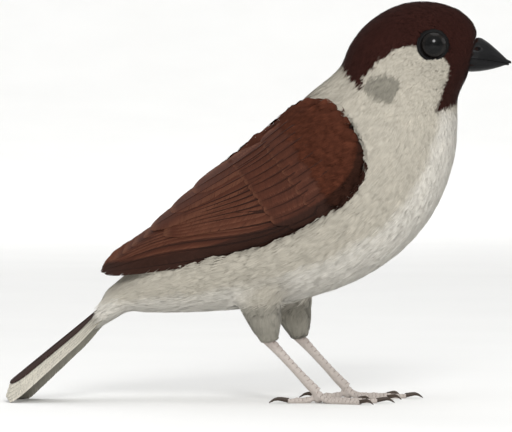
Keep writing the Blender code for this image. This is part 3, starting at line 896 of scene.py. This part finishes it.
def make_bristles():
    """Short feathers that lie forward over the base of the bill."""
    rng = np.random.default_rng(17)
    halves = [node_arrays("bill_upper"), node_arrays("bill_lower")]
    form = Surface(*fused([hull(node_arrays("head")[0]), *halves], voxel=0.25, swell=0.3, rounds=3))
    bill = Surface(*fused(halves, voxel=0.25, swell=0.3, rounds=1))
    points, normals = form.scattered(TRIES["bill"], rng)
    low, high = bird.bill_box
    points, normals = taken(np.abs(points[:, 0] - low[0]) < 4, points, normals)
    gap = bill.gap(points)
    points, normals = taken((gap > 0.25) & (gap < 1.0), points, normals)
    points, normals = taken(thinned(points, 0.34, rng), points, normals)
    middle = (low[0], 0, (low[2] + high[2]) / 2)

    def forward(places, ups):
        lie = (1.0, 0.0, 0.0) + (places - middle) * (0, 0.12, 0.12)
        return unit(lie - ups * dot(lie, ups))

    ones = np.ones(len(points))
    colours = np.multiply(CAP, BRISTLE_TINT) * rng.normal(0.9, 0.1, (len(points), 1))
    arrays = soft_feathers(form, forward, points, normals, rng.uniform(1.2, 1.9, len(points)), 0.55 * ones,
                           0.35 * ones, colours, strips=4, rows=4, rng=rng, loose=1.2)
    new_piece("bristles", "cap_plumage", "contour", *arrays)


# ------------------------------------------------------------------------- skin, lids, legs and feet


def eyelids(form, sign):
    """A finely notched ring of skin round one eye, from the eyeball out to the surface of the head."""
    turns, profile = 90, 9
    inner = math.sqrt(bird.eye_radius**2 - LID_OPENING**2) - EYE_SUNK + 0.05
    rim = LID_RADIUS + 0.35
    centre = bird.eye * (1, sign, 1)
    points = []
    for turn in 2 * math.pi * np.arange(turns) / turns:
        flat = np.array([math.cos(turn), 0, math.sin(turn)])
        opening = LID_OPENING * (1 - 0.04 * math.cos(2 * turn))
        place, _ = form.hit(centre + flat * rim + (0, sign * 20, 0), (0, -sign, 0))
        outer = (place[1] - centre[1]) * sign - 0.25
        for share in np.arange(profile) / (profile - 1):
            fold = math.sin(math.pi * min(share * 1.25, 1.0)) * (0.26 + 0.04 * math.cos(30 * turn))
            out = opening + (rim - opening) * share
            points.append(centre + flat * out + (0, sign * (inner + (outer - inner) * share + fold), 0))
    index = np.arange(turns * profile).reshape(turns, profile)
    after = np.roll(index, -1, axis=0)
    faces = quads(index[:, :-1], index[:, 1:], after[:, 1:], after[:, :-1])
    return np.array(points), faces if sign < 0 else faces[:, ::-1], np.tile(LID, (len(points), 1))


def scuted(co, faces, side):
    """Lays overlapping plates down the front of the shank and the tops of the toes, and paints them, with
    painted shade in the grooves and towards the ankle.
    """
    shank, _ = node_arrays("tarsus_" + side)
    height = shank[:, 2]
    ankle = shank[height > height.max() - 0.8].mean(axis=0)
    foot = shank[height < height.min() + 0.5].mean(axis=0)
    lines = [(ankle, foot, 1.35, (0.75, 0, 0.65))]
    for toe in TOES:
        claw, _ = node_arrays(f"claw_{side}_{toe}")
        tip = claw[np.argmin(magnitude(claw - foot))]
        lines.append((foot * (1, 1, 0) + (0, 0, 0.8), tip * (1, 1, 0) + (0, 0, 0.6), 0.95, (0, 0, 1.0)))
    normals = corner_normals(co, faces)
    nearest, raised = np.full(len(co), 1e9), np.zeros(len(co))
    for start, stop, plate, front in lines:
        along = unit(stop - start)
        reach = (co - start) @ along
        on_line = start + np.clip(reach, 0, magnitude(stop - start))[:, None] * along
        off = magnitude(co - on_line)
        facing = ramp(normals @ front, -0.05, 0.35)
        phase = (reach / plate) % 1.0
        groove = np.exp(-((np.minimum(phase, 1 - phase) / 0.13) ** 2)) * facing
        raised = np.where(off < nearest, 0.10 * (phase - 0.4) * facing - 0.08 * groove, raised)
        nearest = np.minimum(off, nearest)
    # Painted shade: darker in the grooves between the plates and on each plate's tucked end.
    colours = mixed(LEG, LEG_GROOVE_SHADE, ramp(-raised, 0.015, 0.10) * 0.8)
    # Painted shade: darker towards the ankle, under the thigh's feathers.
    colours = mixed(colours, LEG_GROOVE_SHADE, 0.4 * ramp(co[:, 2], ankle[2] - 2.5, ankle[2] + 0.5))
    moved = co + normals * raised[:, None]
    moved[:, 2] = np.maximum(moved[:, 2], 0.0)
    return moved, faces, colours


def make_skin(form):
    """One skin for all the flesh: under the coat, round the eyes and down to the toes."""
    flesh = [node_arrays(n) for n in ("trunk", "neck", "thigh_left", "thigh_right")]
    flesh.append(hull(node_arrays("head")[0]))
    co, faces = fused(flesh, voxel=0.75, swell=0.3, rounds=8)
    normals = corner_normals(co, faces)
    distance, _ = bird.beside_eye(co)
    socket = (1 - ramp(distance, LID_RADIUS - 0.5, LID_RADIUS + 1.2)) * (np.abs(co[:, 1]) > 3)
    # The skin wears the coat's markings, a tenth darker as painted shade under the feathers.
    colours = coat_colours(co, normals, np.random.default_rng(5)) * 0.9
    # Painted shade: the skin that a folded wing covers is painted dark.
    colours = mixed(colours, WING_DARK, under_wing(co, normals))
    parts = [(co - normals * (coat_depth(co) * 1.05 + 1.6 * socket)[:, None], faces, colours)]
    for side, sign in SIDES.items():
        shank, shank_faces = node_arrays("tarsus_" + side)
        along = unit(bird.thighs[side][1] - shank.mean(axis=0))
        shank = lengthened(shank, along, extra=2.4, within=2.0)
        shank = lengthened(shank, -along, extra=1.0, within=1.2)
        leg = [(shank, shank_faces), node_arrays("foot_" + side)]
        leg = fused(leg, voxel=0.17, swell=0.18, rounds=3)
        parts += [scuted(*leg, side), eyelids(form, sign)]
    skin = new_piece("skin", "leg_skin", "skin", *joined(parts))
    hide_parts("trunk", "neck", "head")
    for side in SIDES:
        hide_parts("thigh_" + side, "tarsus_" + side, "foot_" + side)


# ------------------------------------------------------------------------------------- firm feathers


def firm_vane(place, length, sign, width, bundles, paint, rng, blunt, base):
    """One vane of a firm feather: bundles of barbs that run out from the shaft and slant to the tip."""
    slant = 0.1
    c = np.linspace(0, 1, 5)
    mid = (np.arange(bundles)[:, None, None] + 0.5) / bundles
    gap = np.where(rng.random(bundles) < 0.02, 0.15, 0.05)[:, None, None]
    bend = rng.normal(0, 0.18 / bundles, (bundles, 1, 1))
    edge = np.array([-0.5, 0.5])[None, :, None] / bundles
    t = np.clip(mid + edge * (1.12 - gap * c**2) + bend * c**2, 0, 1)
    tip = np.clip((t - blunt) / (1 - blunt), 0, 1)
    half = width * (0.5 + 0.5 * ramp(t, 0.0, 0.3)) * np.sqrt(1 - tip**2.4)
    on_shaft = base + (0.985 - base) * t
    at_edge = base + slant + (1.0 - base - slant) * t
    s = on_shaft + (at_edge - on_shaft) * c**1.15
    across = c**0.92 * (1 + rng.normal(0, 0.01, (bundles, 1, 1)))
    x = sign * half * across
    lift = rng.normal(0, 0.006, (bundles, 1, 1)) * c + np.array([0.012, -0.012])[None, :, None] * c
    points = place(s, x, lift - 0.05 * across**2)
    colours = paint(points, s, x / width) * (1 + rng.normal(0, 0.05, (bundles, 1, 1, 1)))
    strip = np.stack([0.5 + 0.45 * x / width, s], axis=-1)
    vane = np.stack([t * length, np.abs(x) + 0 * t], axis=-1)
    index = np.arange(bundles * 2 * len(c)).reshape(bundles, 2, len(c))
    faces = quads(index[:, 0, :-1], index[:, 0, 1:], index[:, 1, 1:], index[:, 1, :-1])[:, ::sign]
    return listed(points, faces, colours, strip, vane)


def firm_shaft(place, length, paint, base, shaft):
    """The shaft of a firm feather, an arch that thins to the tip."""
    s = np.repeat(np.linspace(base * 0.5, 0.99, 14)[:, None], 5, axis=1)
    turn = np.linspace(0, math.pi, s.shape[1])[None]
    thick = shaft * (1.02 - s) ** 0.8
    points = place(s, thick * np.cos(turn), 0.03 + 0.8 * thick * np.sin(turn))
    strip, vane = np.stack([0.5 + 0 * s, s], axis=-1), np.stack([s * length, 0 * s], axis=-1)
    index = np.arange(s.size).reshape(s.shape)
    faces = quads(index[:-1, :-1], index[1:, :-1], index[1:, 1:], index[:-1, 1:])
    return listed(points, faces, 0.6 * paint(points, s, 0 * s), strip, vane)


def firm_feather(place, length, outer, inner, bundles, paint, rng, blunt, base=0.1, shaft=0.3):
    """A feather with a shaft and two vanes of barbs. Returns points, faces, colours and both maps.

    place(s, x, lift) turns a share along the shaft, a distance across and a lift into points; outer and
    inner are the widths of the vanes. paint(points, s, across) gives colours, across from -1 to 1.
    base is where along the shaft the barbs begin, and blunt where the vanes begin to round off to the tip.
    """
    vanes = [firm_vane(place, length, sign, width, bundles, paint, rng, blunt, base)
             for sign, width in ((1, outer), (-1, inner))]
    return joined(vanes + [firm_shaft(place, length, paint, base, shaft)])


def gathered(name, slot, material, feathers):
    """One piece from several firm feathers. Each has a strip of the bake map to itself."""
    parts = []
    for i, (points, faces, paint, strip, vane) in enumerate(feathers):
        bake = np.column_stack([(i + strip[:, 0]) / len(feathers), 0.01 + 0.98 * strip[:, 1]])
        parts.append((points, faces, paint, bake, vane + (7.3 * i, 3.1 * i)))
    return new_piece(name, slot, material, *joined(parts))


class Wing:
    """A folded wing's outer surface, charted by reach along it from the tail root and turn round it."""

    def __init__(self, side):
        self.side, self.sign = side, SIDES[side]
        parts = [node_arrays(f"wing_{side}_{part}") for part in WING_PARTS]
        self.form = Surface(*fused(parts, voxel=0.5, swell=0.25, rounds=6))
        flat = self.form.co[:, [0, 2]] - self.form.co[:, [0, 2]].mean(axis=0)
        lean = np.linalg.svd(flat, full_matrices=False)[2][0]
        lean = lean * np.sign(lean[0])
        self.axis, self.rise = np.array([lean[0], 0, lean[1]]), np.array([-lean[1], 0, lean[0]])
        self.start = bird.tail_root
        reach, turn = self.chart(self.form.co)
        self.tip, self.bend = reach.min(), reach.max()
        self.reaches = np.arange(self.tip - 6, self.bend + 6, REACH_STEP)
        self.turns = np.radians(np.arange(-40, 156, TURN_STEP))
        self.radii = self.sampled()
        self.stations = np.linspace(self.tip + 1, self.bend - 1, 26)
        near = [turn[np.abs(reach - station) < 1.5] for station in self.stations]
        self.upper, self.lower = (np.array([np.percentile(t, end) for t in near]) for end in (1, 99))
        # Directions round the wing seen from the side, and how far it goes out in each of them.
        angles = np.radians(np.arange(-150, 45, 3))
        self.ways = np.column_stack([np.cos(angles), 0 * angles, np.sin(angles)])
        self.extents = (self.form.co @ self.ways.T).max(axis=0)

    def chart(self, points):
        """Each point's reach along the wing's axis, and its turn round it from the top outwards."""
        off = points - self.start
        return off @ self.axis, np.arctan2(off[..., 1] * self.sign, off @ self.rise)

    def outward(self, turn):
        turn = np.asarray(turn)[..., None]
        return np.cos(turn) * self.rise + np.sin(turn) * np.array([0, self.sign, 0])

    def sampled(self):
        """The wing's distance from its axis on a grid, spread smoothly past its borders."""
        radii = np.full((len(self.reaches), len(self.turns)), np.nan)
        for i, reach in enumerate(self.reaches):
            for j, turn in enumerate(self.turns):
                centre, out = self.start + self.axis * reach, self.outward(turn)
                place, _ = self.form.hit(centre + out * 40, -out)
                if place is not None and (place - centre) @ out > 2:
                    radii[i, j] = (place - centre) @ out
        known = ~np.isnan(radii)
        ring = np.pad(known, 1)
        known &= ring[:-2, 1:-1] & ring[2:, 1:-1] & ring[1:-1, :-2] & ring[1:-1, 2:]
        filled = np.where(known, radii, np.nanmean(radii))
        rounds, settling = 600, 6
        for k in range(rounds):
            around = np.pad(filled, 1, mode="edge")
            mean = (around[:-2, 1:-1] + around[2:, 1:-1] + around[1:-1, :-2] + around[1:-1, 2:]) / 4
            filled = np.where(known & (k < rounds - settling), radii, mean)
        return filled

    def radius(self, reach, turn):
        i = np.clip((reach - self.reaches[0]) / REACH_STEP, 0, len(self.reaches) - 1.001)
        j = np.clip((turn - self.turns[0]) / math.radians(TURN_STEP), 0, len(self.turns) - 1.001)
        a, b = i.astype(int), j.astype(int)
        i, j = i - a, j - b
        low = self.radii[a, b] * (1 - j) + self.radii[a, b + 1] * j
        return low * (1 - i) + (self.radii[a + 1, b] * (1 - j) + self.radii[a + 1, b + 1] * j) * i

    def place(self, reach, turn, lift):
        out = self.radius(reach, turn) + lift
        return self.start + reach[..., None] * self.axis + out[..., None] * self.outward(turn)

    def edges_at(self, reach):
        """The turns of the wing's upper and lower edge."""
        return np.interp(reach, self.stations, self.upper), np.interp(reach, self.stations, self.lower)

    def at(self, u, w):
        """The chart's reach and turn at shares u from bend to tip, and w from upper to lower edge."""
        reach = self.bend + (self.tip - self.bend) * u
        upper, lower = self.edges_at(reach)
        return reach, upper + (lower - upper) * w

    def covers(self, points):
        """True just over or just in the wing's outer face. By the tip its feathers reach past its edges."""
        reach, turn = self.chart(points)
        radius = self.radius(reach, turn)
        upper, lower = self.edges_at(reach)
        from_edge = np.minimum(turn - upper, lower - turn) * radius
        height = magnitude(points - self.start - reach[:, None] * self.axis) - radius
        by_tip = reach < self.tip + 32
        margin, deepest = np.where(by_tip, -0.7, 0.8), np.where(by_tip, -1.9, -1.2)
        along = (reach > self.tip + 1) & (reach < self.bend - 2)
        return along & (from_edge > margin) & (height > deepest) & (height < 2.5)

    def upper_edge(self, reach, width):
        """The points of the wing's form along a stretch of its upper edge."""
        along, turn = self.chart(self.form.co)
        return self.form.co[(np.abs(along - reach) < width) & (turn < self.edges_at(along)[0] + 0.35)]

    def band(self, points):
        """The dark border along the wing's front and lower edge, narrowing towards both of its ends: the
        primaries' own dark colour along the lower edge, and painted shade along the front edge.
        """
        reach = (points - self.start) @ self.axis - self.tip
        rise = (points - self.start) @ self.rise
        depth = (self.extents - points @ self.ways.T).min(axis=-1)
        width = np.interp(reach, BAND_REACHES, BAND_WIDTHS)
        width = width * np.where(reach > BAND_FRONT, ramp(-rise, -3.5, 5.5), 1.0)
        return ramp(width - depth, -0.3, 0.3)

    def flow(self, points, normals):
        """Small wing feathers lie towards the wing's tip."""
        target = self.place(*self.at(0.9, 0.45), 0.0)
        lie = mixed(unit(target - points), -self.axis, 0.45)
        return unit(lie - normals * dot(lie, normals))

    def feather(self, root, tip, depth, outer, inner, bundles, bow, blunt, paint, rng):
        """A firm feather from root to tip, both given as shares of the wing, lying at a depth in it."""
        sample = np.linspace(0, 1, 41)
        bowed = root[1] + (tip[1] - root[1]) * sample + bow * np.sin(math.pi * sample)
        reach, turn = self.at(root[0] + (tip[0] - root[0]) * sample, bowed)
        for _ in range(6):
            turn[1:-1] = (turn[:-2] + 2 * turn[1:-1] + turn[2:]) / 4
        radius = self.radius(reach, turn)
        ahead = unit(np.column_stack([np.gradient(reach), radius * np.gradient(turn)]))
        length = np.hypot(np.diff(reach), radius[1:] * np.diff(turn)).sum()

        def place(s, x, lift):
            curves = (reach, turn, radius, *ahead.T)
            here, around, ring, along, across = (np.interp(s, sample, curve) for curve in curves)
            sunk = depth - 1.0 * np.maximum(1 - s / 0.25, 0) ** 1.5
            return self.place(here + across * x, around - along * x / ring, sunk + lift)

        return firm_feather(place, length, outer, inner, bundles, paint, rng, blunt=blunt)

    def row(self, count, roots, tips, depths, **shape):
        """Feathers from the first one's root, tip and depth to the last one's."""
        ends = (np.linspace(*pair, count) for pair in (roots, tips, depths))
        return [self.feather(*places, **shape) for places in zip(*ends)]


def wing_paint(wing, rim, dark):
    """Colours for a wing feather: darker along the shaft, fringed, and dark in the wing's border, which is
    partly painted shade.
    """

    def paint(points, s, across):
        off = np.abs(across)
        colour = mixed(WING_BROWN, WING_DARK, dark * (1 - ramp(off, 0.0, 0.75)))
        edge = np.maximum(ramp(off, 1 - 2.2 * rim, 1 - 0.6 * rim), ramp(s, 1 - 0.35 * rim, 1 - 0.1 * rim))
        # The wing's dark border: dark primaries along the lower edge, painted shade along the front edge.
        return mixed(mixed(colour, WING_FRINGE, 0.85 * edge), WING_DARK, wing.band(points))

    return paint


def make_wing(wing, rng):
    """The firm feathers of one folded wing: its primaries, secondaries and tertials, and their coverts."""
    flight, covert = wing_paint(wing, 0.16, 0.65), wing_paint(wing, 0.2, 0.35)
    quills = []
    for k, tip in reversed(list(enumerate(PRIMARY_TIPS))):
        bow, blunt = 0.17 - 0.05 * max(k - 6, 0), 0.8 + 0.015 * k
        root, depth = (0.15 + 0.006 * k, 0.86 + 0.012 * k), -0.70 - 0.06 * k
        quills.append(wing.feather(root, tip, depth, outer=1.5, inner=4.0, bundles=72, bow=bow, blunt=blunt,
                                   paint=flight, rng=rng))
    quills += wing.row(**SECONDARIES, paint=flight, rng=rng)
    for k, tip in enumerate(TERTIAL_TIPS):
        root, depth = (0.22 + 0.01 * k, 0.46 - 0.13 * k), -0.35 + 0.1 * k
        quills.append(wing.feather(root, tip, depth, outer=4.0, inner=3.8, bundles=60, bow=0.05, blunt=0.6,
                                   paint=covert, rng=rng))
    piece = gathered(f"quills_{wing.side}", "wing_plumage", "quill", quills)
    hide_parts(f"wing_{wing.side}_primaries", f"wing_{wing.side}_secondaries")
    small = []
    for row in (PRIMARY_COVERTS, ALULA, GREATER_COVERTS, MEDIAN_COVERTS):
        small += wing.row(**row, paint=covert, rng=rng)
    piece = gathered(f"coverts_{wing.side}", "wing_plumage", "quill", small)
    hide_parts(f"wing_{wing.side}_coverts")


def make_lesser_coverts(wing, form, rng):
    """The small round feathers of the bend of the wing, and the longer soft ones of the shoulder."""
    points, normals = wing.form.scattered(TRIES["wing"], rng)
    reach, turn = wing.chart(points)
    outward = (np.sum(normals * wing.outward(turn), axis=1) > 0.08) & (normals[:, 1] * wing.sign > -0.02)
    share = (wing.bend - reach) / (wing.bend - wing.tip)
    upper, lower = wing.edges_at(reach)
    bend = outward & (share < 0.17)
    high = (turn - upper) / (lower - upper) < 0.2 - 0.25 * np.maximum(share - 0.2, 0)
    top = outward & (share < 0.45) & high & ~bend
    for name, here, spacing, length, wide, low in (("lesser", bend, 0.72, 4.2, 2.5, -0.1),
                                                   ("scapulars", top, 1.5, 6.6, 3.6, 0.12)):
        roots, ups = taken(here, points, normals)
        roots, ups = taken(thinned(roots, spacing, rng), roots, ups)
        ones = np.ones(len(roots))
        colour = rng.normal(1.0, 0.10, (len(roots), 1)) * WING_BROWN
        arrays = soft_feathers(form, wing.flow, roots, ups, length * ones, wide * ones, 0.9 * ones, colour,
                               strips=9, rows=5, rng=rng, loose=0.5, low=low)
        co, faces, paint, *maps = arrays
        # The wing's dark border darkens these feathers too: painted shade along the wing's front edge.
        paint = paint * mixed(1.0, np.divide(WING_DARK, WING_BROWN), wing.band(co))
        new_piece(f"{name}_{wing.side}", "wing_plumage", "contour", co, faces, paint, *maps)


def tail_paint(colour):
    """Colours for a tail feather: one colour, a little darker along the shaft."""

    def paint(points, s, across):
        off = np.abs(across)
        tone = 1 - 0.15 * (1 - ramp(off, 0.0, 0.5)) + 0.08 * ramp(off, 0.7, 1.0)
        return colour * tone[..., None]

    return paint


def make_tail(rng):
    """Twelve tail feathers in a low roof: the middle pair on top, and five under it on each side.

    Each one is made twice: its upper side, and just under it its lower side, grey as painted shade on the
    outer ones.
    """
    centre, _ = node_arrays("tail_centre")
    middle = centre.mean(axis=0)
    axes = np.linalg.svd(centre - middle, full_matrices=False)[2]
    ahead, left, up = (a * np.sign(a[k]) for k, a in enumerate(axes))
    reach = (centre - middle) @ -ahead
    length = reach.max() - reach.min()
    root = middle - ahead * reach.min()

    def laid(full, near, far, level, sign, sunk):
        """Where a feather lies that runs out from near to far beside the middle of the tail."""

        def place(s, x, lift):
            out = near + (far - near) * s + x
            high = level + (lift - sunk) - 0.015 * x**2 - (np.hypot(out, 0.8) - 0.8) * math.sin(TAIL_DROOP)
            points = root - ahead * (s * full)[..., None] + up * high[..., None]
            points = points + left * (sign * math.cos(TAIL_DROOP) * out)[..., None]
            points[..., 2] = np.maximum(points[..., 2], 0.02)
            return points

        return place

    for side, sign in SIDES.items():
        end = ((node_arrays("tail_" + side)[0] - root) @ -ahead).max()
        feathers = []
        for k in reversed(range(TAIL_PAIRS)):
            full = length + (end - length) * min(k / 3, 1.0)
            level = -0.15 * k - (0.15 if k else 0.0)
            wide = (2.1, 3.3) if k else (2.5, 2.4)
            # The outer feathers' lower sides are painted darker grey, as painted shade.
            above, below = (TAIL_PALE, TAIL_UNDERSIDE_SHADE) if k else (TAIL_DARK, TAIL_DARK)
            for colour, sunk in ((above, 0.0), (below, 0.07)):
                place = laid(full, 0.9 + 0.55 * k, 1.9 + 1.22 * k, level, sign, sunk)
                feathers.append(firm_feather(place, full, *wide, 72, tail_paint(colour), rng, blunt=0.8,
                                             base=0.0, shaft=0.2))
        piece = gathered("tail_feathers_" + side, "tail_plumage", "tail", feathers)
        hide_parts("tail_" + side, *(["tail_centre"] if sign > 0 else []))


# ------------------------------------------------------------------------------ bill, eyes and claws


def make_bill():
    """Both halves of the bill, closed on each other, with nostrils and fine growth lines."""
    low, high = bird.bill_box
    size = high - low
    nostril = np.array([low[0] + 1.9, 0, low[2] + 0.66 * size[2]])
    for half, facing, grown in (("upper", -1, 0.17), ("lower", 1, 0.13)):
        co, faces = node_arrays("bill_" + half)
        co = lengthened(co, np.array([-1.0, 0, 0]), extra=2.5, within=0.9)
        co, faces = fused([(co, faces)], voxel=0.13, swell=0.12, rounds=3)
        normals = corner_normals(co, faces)
        share, _, height = ((co - low) / size).T
        inward = grown * ramp(facing * normals[:, 2], 0.2, 0.9)
        if half == "upper":
            off = (co - nostril) * (1 / 0.55, 0, 1 / 0.34)
            pit = np.exp(-(magnitude(off) ** 2)) * (np.abs(co[:, 1]) > 0.6)
            co = co - normals * (0.55 * pit)[:, None]
        lines = np.sin(share * 34 + 5 * height) * 0.012 * (1 - share)
        co = co + normals * (lines + inward + 0.03)[:, None]
        piece = new_piece("bill_horn_" + half, "bill_horn", "bill", co, faces)
        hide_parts("bill_" + half)


def make_eyes():
    """Wet dark eyes: a pupil in a nearly black brown iris."""
    rings, turns = 40, 64
    angle = np.linspace(0, math.pi, rings)[:, None]
    turn = np.linspace(0, 2 * math.pi, turns, endpoint=False)[None]
    index = np.arange(rings * turns).reshape(rings, turns)
    after = np.roll(index, -1, axis=1)
    faces = quads(index[:-1], after[:-1], after[1:], index[1:])
    for side, sign in SIDES.items():
        ball = (np.sin(angle) * np.cos(turn), np.cos(angle) * sign + 0 * turn, np.sin(angle) * np.sin(turn))
        local = np.stack(ball, axis=-1).reshape(-1, 3) * bird.eye_radius
        iris = ramp(np.hypot(local[:, 0], local[:, 2]), PUPIL_RADIUS - 0.08, PUPIL_RADIUS + 0.08)
        colours = mixed(PUPIL, IRIS, iris * (local[:, 1] * sign > 0))
        place = (bird.eye - (0, EYE_SUNK, 0)) * (1, sign, 1)
        wound = faces if sign < 0 else faces[:, ::-1]
        piece = new_piece("eyeball_" + side, "eye", "eye", local + place, wound, colours)
        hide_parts("eye_" + side)


def make_claws():
    """Smooth claws, each set into the end of its toe."""
    for side in SIDES:
        foot, _ = node_arrays("foot_" + side)
        heel = (foot.min(axis=0) + foot.max(axis=0)) / 2
        for toe in TOES:
            name = f"claw_{side}_{toe}"
            co, faces = node_arrays(name)
            back = unit((heel - co.mean(axis=0)) * (1, 1, 0))
            longer = lengthened(co, back, extra=0.7, within=0.5)
            claw = fused([(longer, faces)], voxel=0.1, swell=0.1, rounds=2)
            piece = new_piece(f"nail_{side}_{toe}", "claw_horn", "claw", *claw)
            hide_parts(name)


# ------------------------------------------------------------------------------ stage, light, camera


def make_stage():
    """A pale studio floor that curves up far from the bird on every side."""
    rings = curve_through(FLOOR_PROFILE, 48)[1:]
    turns = 96
    turn = np.linspace(0, 2 * math.pi, turns, endpoint=False)
    circle = np.column_stack([np.cos(turn), np.sin(turn), 0 * turn])
    co = np.vstack([circle * r + (0, 0, max(z, 0.0)) for r, z in rings] + [np.zeros((1, 3))])
    index = np.arange(turns * len(rings)).reshape(len(rings), turns)
    after = np.roll(index, -1, axis=1)
    faces = quads(index[:-1], index[1:], after[1:], after[:-1]).tolist()
    faces += [[len(co) - 1, int(a), int(b)] for a, b in zip(index[0], after[0])]
    mesh = bpy.data.meshes.new("floor")
    mesh.from_pydata(co.tolist(), [], faces)
    mesh.shade_smooth()
    shader = Shader("studio_floor", Roughness=0.75, Specular_IOR_Level=0.2)
    mottle = shader.noise(shader.place, scale=14.0, detail=4.0)
    shader.toned(shader.between(mottle, 0.97, 1.03), FLOOR)
    mesh.materials.append(shader.material)
    floor = bpy.data.objects.new("floor", mesh)
    bpy.context.scene.collection.objects.link(floor)


def stood(name, data, place, aim):
    """Stands a lamp or a camera at a place, looking at another."""
    obj = bpy.data.objects.new(name, data)
    obj.location = place
    obj.rotation_euler = (Vector(aim) - obj.location).to_track_quat("-Z", "Y").to_euler()
    bpy.context.scene.collection.objects.link(obj)
    return obj


def make_lights():
    """A soft key above the camera, a broad light overhead, softer ones round the bird, one for the wall."""
    bird_place = (0, 0, VIEW_HEIGHT * MM)
    for name, place, aim, size, power in (
        ("key", (0.10, -0.92, 0.55), bird_place, 0.31, 5.6),
        ("top", (0.2, -0.1, 1.5), bird_place, 1.2, 4.5),
        ("back", (-0.5, 1.2, 0.9), bird_place, 0.9, 3.2),
        ("front", (1.3, -0.3, 0.6), bird_place, 0.8, 2.0),
        ("wall", (0.0, 1.7, 1.2), (0.0, 3.1, 0.1), 1.2, 12.0),
    ):
        light = bpy.data.lights.new(name, "AREA")
        light.shape, light.size, light.energy = "DISK", size, power
        stood(name, light, place, aim)
    world = bpy.data.worlds.new("studio")
    world.use_nodes = True
    sky = world.node_tree.nodes["Background"]
    sky.inputs["Color"].default_value = (1.0, 1.0, 1.0, 1.0)
    sky.inputs["Strength"].default_value = SKY_STRENGTH
    bpy.context.scene.world = world


def make_camera():
    """Looks square at the bird's right side from a little above its middle, with a long lens."""
    camera = bpy.data.cameras.new("camera")
    camera.sensor_width = 36.0
    camera.lens = camera.sensor_width * CAMERA_DISTANCE / VIEW_WIDTH
    camera.clip_start, camera.clip_end = 0.05, 20.0
    aim = Vector((VIEW_MIDDLE, 0, VIEW_HEIGHT)) * MM
    rise = math.radians(CAMERA_ELEVATION)
    place = aim + Vector((0, -math.cos(rise), math.sin(rise))) * CAMERA_DISTANCE * MM
    bpy.context.scene.camera = stood("camera", camera, place, aim)


# ----------------------------------------------------------------------------------------- the scene

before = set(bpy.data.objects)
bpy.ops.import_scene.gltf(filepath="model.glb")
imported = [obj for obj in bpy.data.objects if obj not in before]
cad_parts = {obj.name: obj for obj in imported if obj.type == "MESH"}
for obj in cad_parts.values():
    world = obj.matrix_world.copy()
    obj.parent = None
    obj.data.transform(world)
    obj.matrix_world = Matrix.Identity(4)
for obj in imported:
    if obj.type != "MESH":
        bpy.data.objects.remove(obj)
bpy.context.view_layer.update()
bird = Bird()
materials = make_materials()
wings = {side: Wing(side) for side in SIDES}
body_form, coat_form = make_forms()
make_skin(coat_form)
make_coat(body_form, coat_form)
make_bristles()
for side, seed in (("right", 29), ("left", 23)):
    seeded = np.random.default_rng(seed)
    make_wing(wings[side], seeded)
    make_lesser_coverts(wings[side], coat_form, seeded)
make_tail(np.random.default_rng(31))
make_bill()
make_eyes()
make_claws()
make_stage()
make_lights()
make_camera()
bpy.context.scene.view_settings.view_transform = "Standard"
